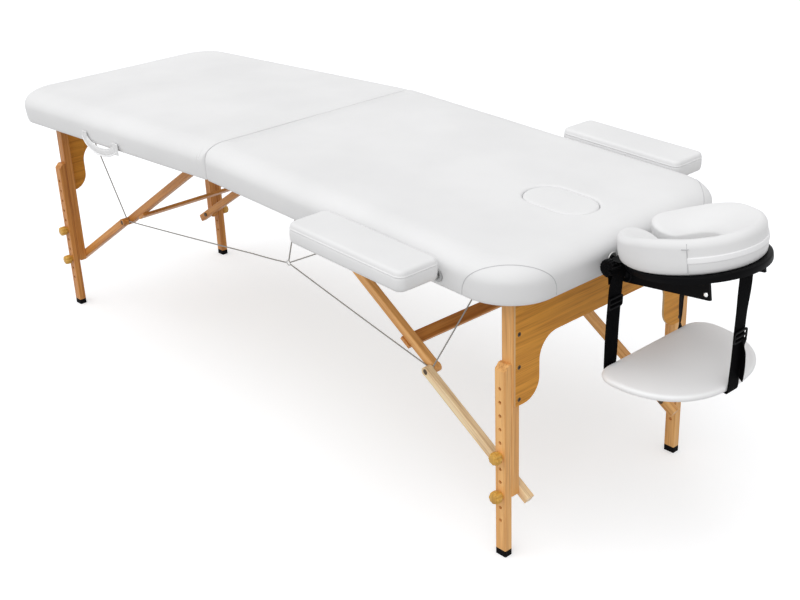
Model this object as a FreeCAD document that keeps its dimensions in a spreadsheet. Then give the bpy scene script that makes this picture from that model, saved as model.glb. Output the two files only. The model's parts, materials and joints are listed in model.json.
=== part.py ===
"""Folding massage table: two padded halves hinged in the middle, hinged wooden leg frames held by
folding braces and steel cables, plug-in armrests, a face rest and a hanging arm shelf.
Millimetres, +Z up, +X towards the head end, origin on the floor under the centre hinge."""
import FreeCAD, Part
import math
import os
import re

# Driving dimensions
SIZES = {
    # table top, measured along each half from the centre hinge
    "half_length": 986, "table_width": 700, "peak_angle": 2.2, "hinge_height": 629,
    "hinge_drop": 3.5, "centre_gap": 1.5, "rail_depth": 42, "rail_thickness": 18,
    "deck_thickness": 4, "foam_thickness": 36, "cover_wall": 6, "corner_radius": 115,
    "centre_corner_radius": 14, "top_roll": 24, "crown_rise": 2.5, "bottom_tuck": 3,
    "face_hole_setback": 189, "face_hole_length": 178, "face_hole_width": 112,
    "face_ledge": 10, "plug_clearance": 0.4, "plug_roll": 5, "cutter_overrun": 1,
    # leg frames
    "leg_setback": 86, "leg_pivot_depth": 16.5, "pivot_shift": 7, "leg_width": 28, "post_top_rise": 12,
    "lower_leg_thickness": 20,
    "post_thickness": 22, "leg_spread_head": 597, "leg_spread_foot": 552, "wood_play": 0.3,
    "post_bottom_height": 142, "lower_leg_top_height": 450, "lower_leg_chamfer": 12,
    "rubber_height": 15, "leg_hole_radius": 4, "leg_hole_pitch": 31, "leg_hole_count": 11,
    "first_hole_height": 88, "lower_knob_hole": 2, "upper_knob_hole": 5,
    "knob_radius": 14, "knob_length": 20, "knob_flutes": 8, "flute_radius": 3.5,
    "knob_neck_radius": 9, "knob_neck_length": 3, "stud_clearance": 0.4, "edge_round": 2,
    "panel_thickness": 5, "panel_top_drop": 6, "panel_inset": 5, "tab_width": 70,
    "panel_shoulder": 42,
    "tab_bottom_height": 353, "band_bottom_height": 485, "tab_round": 45, "arch_round": 52,
    "screw_radius": 4.5, "screw_rise": 0.8, "screw_edge": 10, "screw_pitch": 73, "screw_first": 13,
    # braces
    "brace_reach": 130, "brace_pivot_depth": 15, "brace_width": 22, "brace_thickness": 18,
    "brace_gap": 4, "brace_pivot_height": 152, "brace_tip": 40, "crossbar_setback": 74,
    "crossbar_width": 30, "crossbar_thickness": 8, "crossbar_overhang": 3, "sink_radius": 7, "sink_depth": 4,
    # pivots and hinges
    "bolt_radius": 3, "running_clearance": 0.05, "bolt_head_radius": 6, "bolt_head_rise": 3,
    "bracket_plate": 2.5, "bracket_length": 30, "bracket_flange": 16, "bracket_skirt": 11,
    "hinge_barrel_radius": 3, "hinge_leaf_length": 60, "hinge_leaf_reach": 30,
    "hinge_leaf_thickness": 1.4, "hinge_pin_radius": 1.5, "hinge_offset": 200, "hinge_slit": 0.3,
    # cables
    "cable_radius": 1.3, "cable_eye": 8.5, "cable_end_setback": 148, "ring_x": 151,
    "ring_z": 429, "ring_radius": 6, "ring_wire": 1.6, "bridle_near": 225, "bridle_far": 590,
    "cable_stop": 1.7,
    # carry handle on the near side of the foot half
    "handle_reach": 386, "handle_span": 172, "handle_sag": 46, "handle_rise": 16,
    "handle_width": 20, "handle_thickness": 6, "handle_clear": 0.4, "handle_tab": 16,
    # armrests
    "armrest_length": 345, "armrest_width": 117, "armrest_thickness": 46, "armrest_gap": 17,
    "armrest_setback": 163, "armrest_round": 26, "armrest_roll": 12, "armrest_crown": 1.5, "armrest_tuck": 2,
    "least_round": 4, "pin_radius": 6, "pin_inset": 84, "pin_spacing": 230, "pin_depth": 24,
    "pin_rise": 23.5, "bush_wall": 1.5, "bush_play": 1,
    # face rest, in the frame of the head half
    "rod_spacing": 120, "rod_rise": 31, "rod_depth": 82, "rod_radius": 6, "yoke_out": 25,
    "yoke_width": 26, "yoke_height": 20, "tilt_out": 33, "tilt_rise": 27, "arm_spacing": 176,
    "arm_plate": 6, "arm_length": 192, "arm_end_height": 46, "arm_root_radius": 17,
    "rest_tilt": 10, "rest_out": 104, "platform_rise": 50, "platform_plate": 6, "platform_radius": 138,
    "platform_hole_radius": 58, "cushion_out": 92, "cushion_ring_radius": 99,
    "cushion_half_width": 41, "cushion_thickness": 70, "cushion_opening_angle": 32,
    "cushion_roll": 18, "cushion_tuck": 5, "rest_knob_radius": 17, "rest_knob_length": 16,
    "strap_bar_setback": 3, "strap_bar_radius": 4, "strap_width": 36, "strap_thickness": 2,
    "strap_wrap": 45,
    "shelf_rise": -158, "shelf_thickness": 14, "shelf_half_width": 173, "shelf_depth": 212,
    "shelf_tip_round": 44, "shelf_fullness": 0.85, "shelf_roll": 5, "shelf_tuck": 3,
    "shelf_crown": 2, "rear_buckle_rise": -40,
    "front_buckle_rise": -78,
    "buckle_height": 26, "buckle_overhang": 4, "buckle_thickness": 3,
    "strap_inset": 4, "soft_gap": 0.3,
}

doc = FreeCAD.newDocument("massage_table")
sheet = doc.addObject("Spreadsheet::Sheet", "Sizes")
for row, (alias, value) in enumerate(SIZES.items(), start=1):
    sheet.set(f"A{row}", alias)
    sheet.set(f"B{row}", str(value))
    sheet.setAlias(f"B{row}", alias)
doc.recompute()

# Dimensions that follow from the driving ones
layout = doc.addObject("App::FeaturePython", "Layout")
LAYOUT = {}


def cells(text):
    """Expression text with every size name pointed at the sheet or at the layout object."""
    def owner(match):
        word = match.group(0)
        if word in SIZES:
            return "Sizes." + word
        return "Layout." + word if word in LAYOUT else word
    return re.sub(r"[a-z_][a-z_0-9]*", owner, str(text))


def derive(name, text):
    """Add one derived dimension to the layout object."""
    layout.addProperty("App::PropertyFloat", name)
    layout.setExpression(name, cells(text))
    LAYOUT[name] = text


derive("half_width", "table_width / 2")
derive("leg_reach", "half_length - leg_setback")
derive("face_hole_reach", "half_length - face_hole_setback")
derive("cable_end_reach", "half_length - cable_end_setback")
derive("armrest_reach", "half_length - armrest_setback - armrest_length")
derive("first_pin_reach", "armrest_reach + pin_inset")
derive("yoke_reach", "half_length + yoke_out")
derive("tilt_reach", "yoke_reach + tilt_out")
derive("rest_centre", "tilt_reach + rest_out")
derive("cushion_centre", "tilt_reach + cushion_out")
derive("strap_bar_reach", "tilt_reach - strap_bar_setback")
derive("front_strap_reach", "tilt_reach + shelf_depth + strap_bar_setback")
derive("deck_under", "hinge_drop + rail_depth")
derive("deck_top", "deck_under + deck_thickness")
derive("pad_top", "deck_top + foam_thickness")
derive("rail_inner", "half_width - cover_wall - rail_thickness")
derive("end_rail_start", "half_length - cover_wall - rail_thickness")
derive("pivot_z", "deck_under - leg_pivot_depth")
derive("lean_cos", "cos(peak_angle)")
derive("lean_sin", "sin(peak_angle)")
derive("leg_x", "leg_reach * lean_cos + pivot_z * lean_sin")
derive("leg_height", "hinge_height - leg_reach * lean_sin + pivot_z * lean_cos")
derive("leg_centre", "leg_x + pivot_shift")
derive("brace_top", "deck_under - brace_pivot_depth")
derive("brace_x", "brace_reach * lean_cos + brace_top * lean_sin")
derive("brace_z", "hinge_height - brace_reach * lean_sin + brace_top * lean_cos")
derive("brace_run", "leg_centre - brace_x")
derive("brace_fall", "brace_z - brace_pivot_height")
derive("brace_span", "sqrt(brace_run ^ 2 + brace_fall ^ 2)")
derive("brace_angle", "atan(brace_fall / brace_run) / 1 deg")
derive("folded_base", "leg_reach - (leg_height - brace_pivot_height) - brace_reach")
derive("lower_brace_length", "(brace_span - folded_base) / 2")
derive("upper_brace_length", "brace_span - lower_brace_length")
derive("knuckle_share", "upper_brace_length / brace_span")
derive("knuckle_x", "brace_x + knuckle_share * brace_run")
derive("knuckle_z", "brace_z - knuckle_share * brace_fall")
derive("bolt_hole", "bolt_radius + running_clearance")
derive("bush_radius", "pin_radius + running_clearance + bush_wall")
derive("pin_z", "hinge_drop + pin_rise")
derive("rod_z", "hinge_drop + rod_rise")
derive("tilt_z", "hinge_drop + tilt_rise")
derive("plate_z", "hinge_drop + platform_rise")
derive("armrest_bottom", "pin_z + pin_radius")
derive("arm_outer", "arm_spacing / 2 + arm_plate / 2")
derive("rest_cos", "cos(rest_tilt)")
derive("rest_sin", "sin(rest_tilt)")
derive("rest_x", "tilt_reach - tilt_reach * rest_cos + tilt_z * rest_sin")
derive("rest_z", "tilt_z - tilt_reach * rest_sin - tilt_z * rest_cos")
derive("front_strap_top", "tilt_z + (shelf_depth * rest_sin + plate_z - tilt_z) / rest_cos")
for end in ("head", "foot"):
    derive(f"{end}_leg_outer", f"leg_spread_{end} / 2")
    derive(f"{end}_leg_inner", f"{end}_leg_outer - lower_leg_thickness")
    derive(f"{end}_post_outer", f"{end}_leg_inner - wood_play")
    derive(f"{end}_post_inner", f"{end}_post_outer - post_thickness")
    derive(f"{end}_low_outer", f"{end}_post_inner - wood_play")
    derive(f"{end}_low_inner", f"{end}_low_outer - brace_thickness")
    derive(f"{end}_up_outer", f"{end}_low_inner - brace_gap")
    derive(f"{end}_up_inner", f"{end}_up_outer - brace_thickness")
    derive(f"{end}_cable_y", f"{end}_low_inner - brace_gap / 2")
doc.recompute()


def size(name):
    """Current value of a driving or derived dimension."""
    return float(getattr(sheet if name in SIZES else layout, name))


# Frames that the pieces are placed in: x, y, z, turn about Z, pitch about Y
FRAMES = {
    "head": ("0", "0", "hinge_height", "0", "peak_angle"),
    "foot": ("0", "0", "hinge_height", "180", "peak_angle"),
    "head_leg": ("leg_centre", "0", "0", "0", "0"),
    "foot_leg": ("-leg_centre", "0", "0", "180", "0"),
    "head_upper_brace": ("brace_x", "0", "brace_z", "0", "brace_angle"),
    "foot_upper_brace": ("-brace_x", "0", "brace_z", "180", "brace_angle"),
    "head_lower_brace": ("leg_centre", "0", "brace_pivot_height", "0", "brace_angle"),
    "foot_lower_brace": ("-leg_centre", "0", "brace_pivot_height", "180", "brace_angle"),
    "face_rest": ("rest_x * lean_cos + rest_z * lean_sin", "0",
                  "hinge_height - rest_x * lean_sin + rest_z * lean_cos", "0", "peak_angle - rest_tilt"),
    "floor": ("0", "0", "0", "0", "0"),
}
NODES = []


def placement(x, y, z, turn="0", pitch="0", roll="0"):
    """Expression text of a placement."""
    place = f"create(<<vector>>; {cells(x)}; {cells(y)}; {cells(z)})"
    turned = f"create(<<rotation>>; {cells(turn)}; {cells(pitch)}; {cells(roll)})"
    return f"create(<<placement>>; {place}; {turned})"


def node(label, solids, frame):
    """Name a group of solids as one sub-part and put it in its frame."""
    group = doc.addObject("Part::Compound", label)
    group.Label = label
    group.Links = solids
    group.setExpression("Placement", placement(*FRAMES[frame]))
    NODES.append(group)
    return group


def block(x, y, z):
    """Box between pairs of expressions, one pair for each axis."""
    box = doc.addObject("Part::Box", "block")
    for prop, (low, high) in zip(("Length", "Width", "Height"), (x, y, z)):
        box.setExpression(prop, cells(f"({high}) - ({low})"))
    box.setExpression("Placement", placement(x[0], y[0], z[0]))
    return box


TURNS = {"x": ("0", "90", "0"), "y": ("0", "0", "-90"), "z": ("0", "0", "0")}


def rod(axis, radius, start, length, across):
    """Cylinder along an axis: start is its coordinate on that axis, across the other two."""
    tube = doc.addObject("Part::Cylinder", "rod")
    tube.setExpression("Radius", cells(radius))
    tube.setExpression("Height", cells(length))
    base = {"x": (start, *across), "y": (across[0], start, across[1]), "z": (*across, start)}[axis]
    tube.setExpression("Placement", placement(*base, *TURNS[axis]))
    return tube


def fuse(*solids):
    joined = doc.addObject("Part::MultiFuse", "fuse")
    joined.Shapes = list(solids)
    joined.Refine = True
    return joined


def cut(base, *tools):
    result = doc.addObject("Part::Cut", "cut")
    result.Base = base
    result.Tool = fuse(*tools) if len(tools) > 1 else tools[0]
    return result


def rounded(base, radius, pick, kind="Part::Fillet"):
    """Round or chamfer the straight edges of a solid that pick(direction, middle) chooses."""
    doc.recompute()
    chosen = []
    for number, edge in enumerate(base.Shape.Edges, start=1):
        if edge.Curve.TypeId == "Part::GeomLine":
            if pick(edge.Curve.Direction, edge.CenterOfMass):
                chosen.append((number, radius, radius))
    result = doc.addObject(kind, "rounded")
    result.Base = base
    result.Edges = chosen
    return result


def solid_of(shape, label="form"):
    """Document object for a shape that only Part's own functions make."""
    feature = doc.addObject("Part::Feature", label)
    feature.Shape = shape
    return feature


def bar(x, y, z, along):
    """Wooden bar with its long edges rounded."""
    axis = {"x": 0, "z": 2}[along]
    return rounded(block(x, y, z), size("edge_round"), lambda d, m: abs(d[axis]) > 0.99)


def sides(low, high):
    """The two mirrored ranges of y between a near and a far distance from the centre line."""
    return ((f"{low}", f"{high}"), (f"-({high})", f"-({low})"))


def polygon_arc(points, bends):
    """Closed wire through points, with the middle points of its arcs given in bends."""
    edges = []
    for index, start in enumerate(points):
        stop = points[(index + 1) % len(points)]
        if index in bends:
            edges.append(Part.Arc(start, bends[index], stop).toShape())
        else:
            edges.append(Part.LineSegment(start, stop).toShape())
    return Part.Wire(edges)


def outline(x0, x1, half, r0, r1, z):
    """Rounded rectangle from x0 to x1, with corner radius r0 at x0 and r1 at x1."""
    vector = FreeCAD.Vector
    points = [vector(x0 + r0, -half, z), vector(x1 - r1, -half, z), vector(x1, -half + r1, z),
              vector(x1, half - r1, z), vector(x1 - r1, half, z), vector(x0 + r0, half, z),
              vector(x0, half - r0, z), vector(x0, -half + r0, z)]
    chord = 1 - math.sqrt(0.5)
    bends = {1: vector(x1 - r1 * chord, -half + r1 * chord, z),
             3: vector(x1 - r1 * chord, half - r1 * chord, z),
             5: vector(x0 + r0 * chord, half - r0 * chord, z),
             7: vector(x0 + r0 * chord, -half + r0 * chord, z)}
    return polygon_arc(points, bends)


def rolled_sections(bottom, top, tuck, roll, crown):
    """Heights and insets of a cushion: drawn-in foot, full side, rolled top edge and crown."""
    height = top - bottom
    rows = [(bottom, tuck), (bottom + height / 4, tuck / 4), (top - roll, 0)]
    for share in (0.25, 0.5, 0.75, 1):
        turn = share * math.pi / 2
        rows.append((top - roll * (1 - math.sin(turn)), roll * (1 - math.cos(turn))))
    return rows + [(top + crown / 2, 1.6 * roll), (top + crown, 3 * roll)] if crown else rows


def lofted(wires):
    """Closed solid with straight strips between outlines of like shape."""
    return Part.makeLoft(list(wires), True, True)


def extruded(wire, height):
    return Part.Face(wire).extrude(FreeCAD.Vector(0, 0, height))


def oval(x, length, width, z0, z1):
    """Upright prism with two straight sides and half-round ends, centred on the x axis."""
    vector = FreeCAD.Vector
    half, run = width / 2, (length - width) / 2
    points = [vector(x - run, -half, z0), vector(x + run, -half, z0), vector(x + run, half, z0),
              vector(x - run, half, z0)]
    bends = {1: vector(x + run + half, 0, z0), 3: vector(x - run - half, 0, z0)}
    return extruded(polygon_arc(points, bends), z1 - z0)


# Padded halves: cover and foam over a plywood deck on a frame of rails
def half_outline(inset, z):
    return outline(size("centre_gap") + inset, size("half_length") - inset, size("half_width") - inset,
                   max(size("centre_corner_radius") - inset, size("edge_round")),
                   max(size("corner_radius") - inset, size("edge_round")), z)


def pin_holes(radius, reach):
    """Cross bores for the armrest pins and the rods of the face rest, through rail and cover."""
    vector = FreeCAD.Vector
    over = size("cutter_overrun")
    bores = []
    for side in (-1, 1):
        for shift in (0, size("pin_spacing")):
            start = vector(size("first_pin_reach") + shift, side * (size("half_width") + over), size("pin_z"))
            bores.append(Part.makeCylinder(radius, reach + over, start, vector(0, -side, 0)))
        start = vector(size("half_length") + over, side * size("rod_spacing") / 2, size("rod_z"))
        bores.append(Part.makeCylinder(radius, reach + over, start, vector(-1, 0, 0)))
    return bores


def pad(end):
    rows = rolled_sections(size("hinge_drop"), size("pad_top"), size("bottom_tuck"),
                           size("top_roll"), size("crown_rise"))
    cushion = lofted(half_outline(inset, z) for z, inset in rows)
    over = size("cutter_overrun")
    hollow = extruded(half_outline(size("cover_wall"), size("hinge_drop") - over),
                      size("rail_depth") + size("deck_thickness") + over)
    cushion = cushion.cut(hollow)
    if end == "head":
        cushion = cushion.cut(oval(size("face_hole_reach"), size("face_hole_length"),
                                   size("face_hole_width"), size("deck_under"), 2 * size("pad_top")))
        cushion = cushion.cut(pin_holes(size("bush_radius") + size("bush_play"), size("cover_wall") + over))
    return cushion


def rails(end):
    """Ring of rails, sawn into two sides, a centre rail and an end rail."""
    wall = size("cover_wall")
    ring = extruded(half_outline(wall, size("hinge_drop")), size("rail_depth"))
    start = size("centre_gap") + wall
    inner_start = start + size("rail_thickness")
    inner = Part.makeBox(size("end_rail_start") - inner_start, 2 * size("rail_inner"), 2 * size("deck_under"),
                         FreeCAD.Vector(inner_start, -size("rail_inner"), 0))
    ring = ring.cut(inner)
    if end == "head":
        ring = ring.cut(pin_holes(size("bush_radius"), 2 * wall + size("rail_thickness")))
    corner = size("half_length") - size("corner_radius")
    pieces = []
    for low, high in ((0, inner_start), (inner_start, corner), (corner, size("half_length"))):
        saw = Part.makeBox(high - low, size("table_width"), 2 * size("deck_under"),
                           FreeCAD.Vector(low, -size("half_width"), 0))
        pieces.extend(solid_of(piece) for piece in ring.common(saw).Solids)
    return pieces


def deck(end):
    board = extruded(half_outline(size("cover_wall"), size("deck_under")), size("deck_thickness"))
    if end == "head":
        ledge = 2 * size("face_ledge")
        board = board.cut(oval(size("face_hole_reach"), size("face_hole_length") - ledge,
                               size("face_hole_width") - ledge, 0, size("pad_top")))
    return board


for end in ("head", "foot"):
    node(f"{end}_pad", [solid_of(pad(end))], end)
    node(f"{end}_frame_rails", rails(end), end)
    node(f"{end}_deck", [solid_of(deck(end))], end)

play = 2 * size("plug_clearance")
plug = oval(size("face_hole_reach"), size("face_hole_length") - play, size("face_hole_width") - play,
            size("deck_top"), size("pad_top") + size("crown_rise"))
plug = plug.makeFillet(size("plug_roll"), [e for e in plug.Edges if e.BoundBox.ZMin > size("pad_top")])
node("face_plug", [solid_of(plug)], "head")


# Centre hinges: leaves under the two centre rails, on one barrel
def hinge_leaf(middle, end):
    length = "hinge_leaf_length"
    leaf = block(("0", "hinge_leaf_reach"), (f"{middle} - {length} / 2", f"{middle} + {length} / 2"),
                 ("hinge_drop - hinge_leaf_thickness", "hinge_drop"))
    shares = ((-0.5, -0.25), (0.25, 0.5)) if end == "head" else ((-0.25, 0.25),)
    gaps = ((-0.25, 0.25),) if end == "head" else ((-0.5, -0.25), (0.25, 0.5))
    barrels = []
    for low, high in shares:
        barrels.append(rod("y", "hinge_barrel_radius", f"{middle} + {low} * {length} + hinge_slit",
                           f"{high - low} * {length} - 2 * hinge_slit", ("0", "0")))
    reliefs = []
    for low, high in gaps:
        reliefs.append(block(("-cutter_overrun", "hinge_barrel_radius + cutter_overrun"),
                             (f"{middle} + {low} * {length} - hinge_slit",
                              f"{middle} + {high} * {length} + hinge_slit"),
                             ("0", "hinge_drop")))
    bore = rod("y", "hinge_pin_radius + running_clearance", f"{middle} - {length}", f"2 * {length}",
               ("0", "0"))
    return cut(fuse(cut(leaf, *reliefs), *barrels), bore)


MIDDLES = ("hinge_offset", "-hinge_offset")
pins = [rod("y", "hinge_pin_radius", f"{m} - hinge_leaf_length / 2", "hinge_leaf_length", ("0", "0"))
        for m in MIDDLES]
node("centre_hinge_head", [hinge_leaf(m, "head") for m in MIDDLES] + pins, "head")
node("centre_hinge_foot", [hinge_leaf(m, "foot") for m in MIDDLES], "foot")


# Steel brackets under the deck, with the bolts that the legs and the braces turn on
def bracket(reach, drop, face):
    """Plate with a flange against the deck and a bolt hole; face is its outer y."""
    x = (f"{reach} - bracket_length / 2", f"{reach} + bracket_length / 2")
    plate = block(x, (f"{face} - bracket_plate", face),
                  (f"deck_under - {drop} - bracket_skirt", "deck_under"))
    flange = block(x, (f"{face} - bracket_flange", face), ("deck_under - bracket_plate", "deck_under"))
    hole = rod("y", "bolt_hole", f"{face} - bracket_flange", "2 * bracket_flange",
               (reach, f"deck_under - {drop}"))
    return cut(fuse(plate, flange), hole)


def pivot_bolt(reach, drop, face, outer):
    """Bolt from behind the bracket to just past the outer face of the wood, with a head at each end."""
    across = (reach, f"deck_under - {drop}")
    start = f"{face} - bracket_plate - bolt_head_rise"
    shank = rod("y", "bolt_radius", start, f"{outer} - ({start}) + wood_play + bolt_head_rise", across)
    nut = rod("y", "bolt_head_radius", start, "bolt_head_rise", across)
    head = rod("y", "bolt_head_radius", f"{outer} + wood_play", "bolt_head_rise", across)
    return fuse(shank, nut, head)


def mirrored(base):
    """The same solid on the other side of the centre line."""
    twin = doc.addObject("Part::Mirroring", "twin")
    twin.Source = base
    twin.Normal = FreeCAD.Vector(0, 1, 0)
    return twin


def pair(base):
    return [base, mirrored(base)]


for end in ("head", "foot"):
    leg_face = f"{end}_post_inner - wood_play"
    brace_face = f"{end}_up_inner - wood_play"
    plates = pair(bracket("leg_reach", "leg_pivot_depth", leg_face))
    plates += pair(bracket("brace_reach", "brace_pivot_depth", brace_face))
    node(f"{end}_brackets", plates, end)
    bolts = pair(pivot_bolt("leg_reach", "leg_pivot_depth", leg_face, f"{end}_post_outer"))
    bolts += pair(pivot_bolt("brace_reach", "brace_pivot_depth", brace_face, f"{end}_up_outer"))
    node(f"{end}_pivot_bolts", bolts, end)


# Leg frames: posts with an arched end panel, height-adjusting lower legs with knobs
def post(end):
    x = ("-leg_width / 2", "leg_width / 2")
    y = (f"{end}_post_inner", f"{end}_post_outer")
    timber = bar(x, y, ("post_bottom_height", "leg_height + post_top_rise"), "z")
    bores = [rod("y", "bolt_hole", f"{y[0]} - cutter_overrun", "post_thickness + 2 * cutter_overrun",
                 spot) for spot in (("-pivot_shift", "leg_height"), ("0", "brace_pivot_height"))]
    return cut(timber, *bores)


def end_panel(end):
    """Plywood arch: a band across the top and a tab down each post, all corners rounded."""
    x = ("leg_width / 2", "leg_width / 2 + panel_thickness")
    edge = f"{end}_post_outer - panel_inset"
    top = "leg_height - panel_top_drop"
    board = block(x, (f"-({edge})", edge), ("tab_bottom_height", top))
    opening = block(("0", "leg_width"), (f"-({edge}) + tab_width", f"{edge} - tab_width"),
                    ("0", "band_bottom_height"))
    tab_bottom = size("tab_bottom_height")
    board_top = size("leg_height") - size("panel_top_drop")
    outer_edge = size(f"{end}_post_outer") - size("panel_inset")

    def at_arch(direction, middle):
        return abs(direction.x) > 0.99 and abs(middle.z - size("band_bottom_height")) < 1

    def at_tab(direction, middle):
        return abs(direction.x) > 0.99 and abs(middle.z - tab_bottom) < 1 and abs(middle.y) < outer_edge - 1

    def at_shoulder(direction, middle):
        return abs(direction.x) > 0.99 and abs(middle.z - board_top) < 1

    arched = rounded(cut(board, opening), size("arch_round"), at_arch)
    return rounded(rounded(arched, size("tab_round"), at_tab), size("panel_shoulder"), at_shoulder)


def panel_screws(end):
    heads = []
    across = f"{end}_post_outer - panel_inset - screw_edge"
    for count in range(3):
        height = f"tab_bottom_height + screw_first + {count} * screw_pitch"
        head = rod("x", "screw_radius", "leg_width / 2 + panel_thickness", "screw_rise", (across, height))
        heads += pair(head)
    return heads


def lower_leg(end, side):
    """Leg with a top sloped down to its outer face and a row of holes; side is 1 or -1 in y."""
    y = sides(f"{end}_leg_inner", f"{end}_leg_outer")[0 if side > 0 else 1]
    timber = block(("-leg_width / 2", "leg_width / 2"), y, ("rubber_height", "lower_leg_top_height"))
    top = size("lower_leg_top_height")

    def at_top(direction, middle):
        """Outer top edge, on the side away from the post."""
        outer = abs(middle.y) > size(f"{end}_leg_outer") - 1
        return abs(direction.x) > 0.99 and abs(middle.z - top) < 1 and outer

    timber = rounded(timber, size("lower_leg_chamfer"), at_top, "Part::Chamfer")
    timber = rounded(timber, size("edge_round"), lambda direction, middle: abs(direction.z) > 0.99)
    holes = [rod("y", "leg_hole_radius", f"{y[0]} - cutter_overrun",
                 "lower_leg_thickness + 2 * cutter_overrun",
                 ("0", f"first_hole_height + {count} * leg_hole_pitch"))
             for count in range(int(size("leg_hole_count")))]
    return cut(timber, *holes)


def leg_knob(end, side, hole):
    """Fluted wooden knob on the outer face, with a threaded stud through the leg."""
    height = f"first_hole_height + {hole} * leg_hole_pitch"
    face = f"{end}_leg_outer"
    neck = rod("y", "knob_neck_radius", face, "knob_neck_length", ("0", height))
    grip = rod("y", "knob_radius", f"{face} + knob_neck_length", "knob_length", ("0", height))
    flutes = []
    for count in range(int(size("knob_flutes"))):
        turn = f"{count} * 360 / knob_flutes"
        spot = (f"(knob_radius + flute_radius / 3) * cos({turn})",
                f"{height} + (knob_radius + flute_radius / 3) * sin({turn})")
        flutes.append(rod("y", "flute_radius", f"{face} + knob_neck_length - cutter_overrun",
                          "knob_length + 2 * cutter_overrun", spot))
    stud = rod("y", "leg_hole_radius - stud_clearance", f"{end}_leg_inner + wood_play",
               "lower_leg_thickness - wood_play", ("0", height))
    knob = fuse(cut(grip, *flutes), neck, stud)
    return knob if side > 0 else mirrored(knob)


for end in ("head", "foot"):
    frame = f"{end}_leg"
    node(f"{end}_posts", pair(post(end)), frame)
    node(f"{end}_end_panel", [end_panel(end)], frame)
    node(f"{end}_panel_screws", panel_screws(end), frame)
    for side in (-1, 1):
        # The foot frame is turned half round, so its near side is at positive y
        hand = "near" if (side < 0) == (end == "head") else "far"
        y = sides(f"{end}_leg_inner", f"{end}_leg_outer")[0 if side > 0 else 1]
        node(f"{end}_{hand}_lower_leg", [lower_leg(end, side)], frame)
        foot = bar(("-leg_width / 2", "leg_width / 2"), y, ("0", "rubber_height"), "z")
        node(f"{end}_{hand}_rubber_foot", [foot], frame)
        for level in ("lower", "upper"):
            knob = leg_knob(end, side, f"{level}_knob_hole")
            node(f"{end}_{hand}_{level}_knob", [knob], frame)


# Folding braces between the deck and the legs
def brace(y, start, stop, pivots, round_ends):
    """Flat timber along x with bolt holes; round_ends lists the ends that are rounded about a pivot."""
    timber = bar((start, stop), y, ("-brace_width / 2", "brace_width / 2"), "x")
    ends = [rod("y", "brace_width / 2", y[0], "brace_thickness", (x, "0")) for x in round_ends]
    bores = [rod("y", "bolt_hole", f"{y[0]} - cutter_overrun",
                 "brace_thickness + 2 * cutter_overrun", (x, "0")) for x in pivots]
    return fuse(timber, *ends), bores


def upper_brace(end):
    pivots = ("0", "upper_brace_length")
    timber, bores = brace((f"{end}_up_inner", f"{end}_up_outer"), *pivots, pivots, pivots)
    return cut(timber, *bores)


def lower_brace(end):
    """Brace with a square tip past the leg and sunk seats for the knuckle bolt."""
    y = (f"{end}_low_inner", f"{end}_low_outer")
    knuckle = "-lower_brace_length"
    timber, bores = brace(y, knuckle, "brace_tip", ("0", knuckle), (knuckle,))
    sink = rod("y", "sink_radius", f"{y[1]} - sink_depth", "sink_depth + cutter_overrun", (knuckle, "0"))
    return cut(timber, *bores, sink)


def crossbar(end):
    x = ("upper_brace_length - crossbar_setback - crossbar_width", "upper_brace_length - crossbar_setback")
    reach = f"{end}_up_outer + crossbar_overhang"
    return block(x, (f"-({reach})", reach), ("-brace_width / 2 - crossbar_thickness", "-brace_width / 2"))


def brace_bolts(end):
    """Bolt through post and lower brace, and knuckle bolt with the spacer that carries the cable eye."""
    sunk = f"{end}_low_inner - bolt_head_rise"
    leg_bolt = fuse(rod("y", "bolt_radius", sunk, f"{end}_post_outer - ({sunk})", ("0", "0")),
                    rod("y", "bolt_head_radius", sunk, "bolt_head_rise", ("0", "0")))
    knuckle = ("-lower_brace_length", "0")
    spacer = f"{end}_low_inner - brace_gap + wood_play"
    seat = f"{end}_low_outer - sink_depth"
    knuckle_bolt = fuse(rod("y", "bolt_radius", spacer, f"{seat} + bolt_head_rise - ({spacer})", knuckle),
                        rod("y", "bolt_head_radius", spacer, "brace_gap - wood_play", knuckle),
                        rod("y", "bolt_head_radius", seat, "bolt_head_rise", knuckle))
    return pair(leg_bolt) + pair(knuckle_bolt)


for end in ("head", "foot"):
    node(f"{end}_upper_braces", pair(upper_brace(end)), f"{end}_upper_brace")
    node(f"{end}_crossbar", [crossbar(end)], f"{end}_upper_brace")
    node(f"{end}_lower_braces", pair(lower_brace(end)), f"{end}_lower_brace")
    node(f"{end}_brace_bolts", brace_bolts(end), f"{end}_lower_brace")


# Steel cables, straight runs between eyes at the deck, the knuckles and a ring on each side
def under_deck(end, reach, y):
    """Point a little under the deck of one half, in the floor frame."""
    lean = math.radians(size("peak_angle"))
    z = size("deck_under") - size("cable_stop")
    sign = 1 if end == "head" else -1
    x = reach * math.cos(lean) + z * math.sin(lean)
    return FreeCAD.Vector(sign * x, y, size("hinge_height") - reach * math.sin(lean) + z * math.cos(lean))


def cable_run(start, stop, start_gap, stop_gap):
    way = (stop - start).normalize()
    first = start + way * start_gap
    length = stop.distanceToPoint(start) - start_gap - stop_gap
    return Part.makeCylinder(size("cable_radius"), length, first, way)


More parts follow.
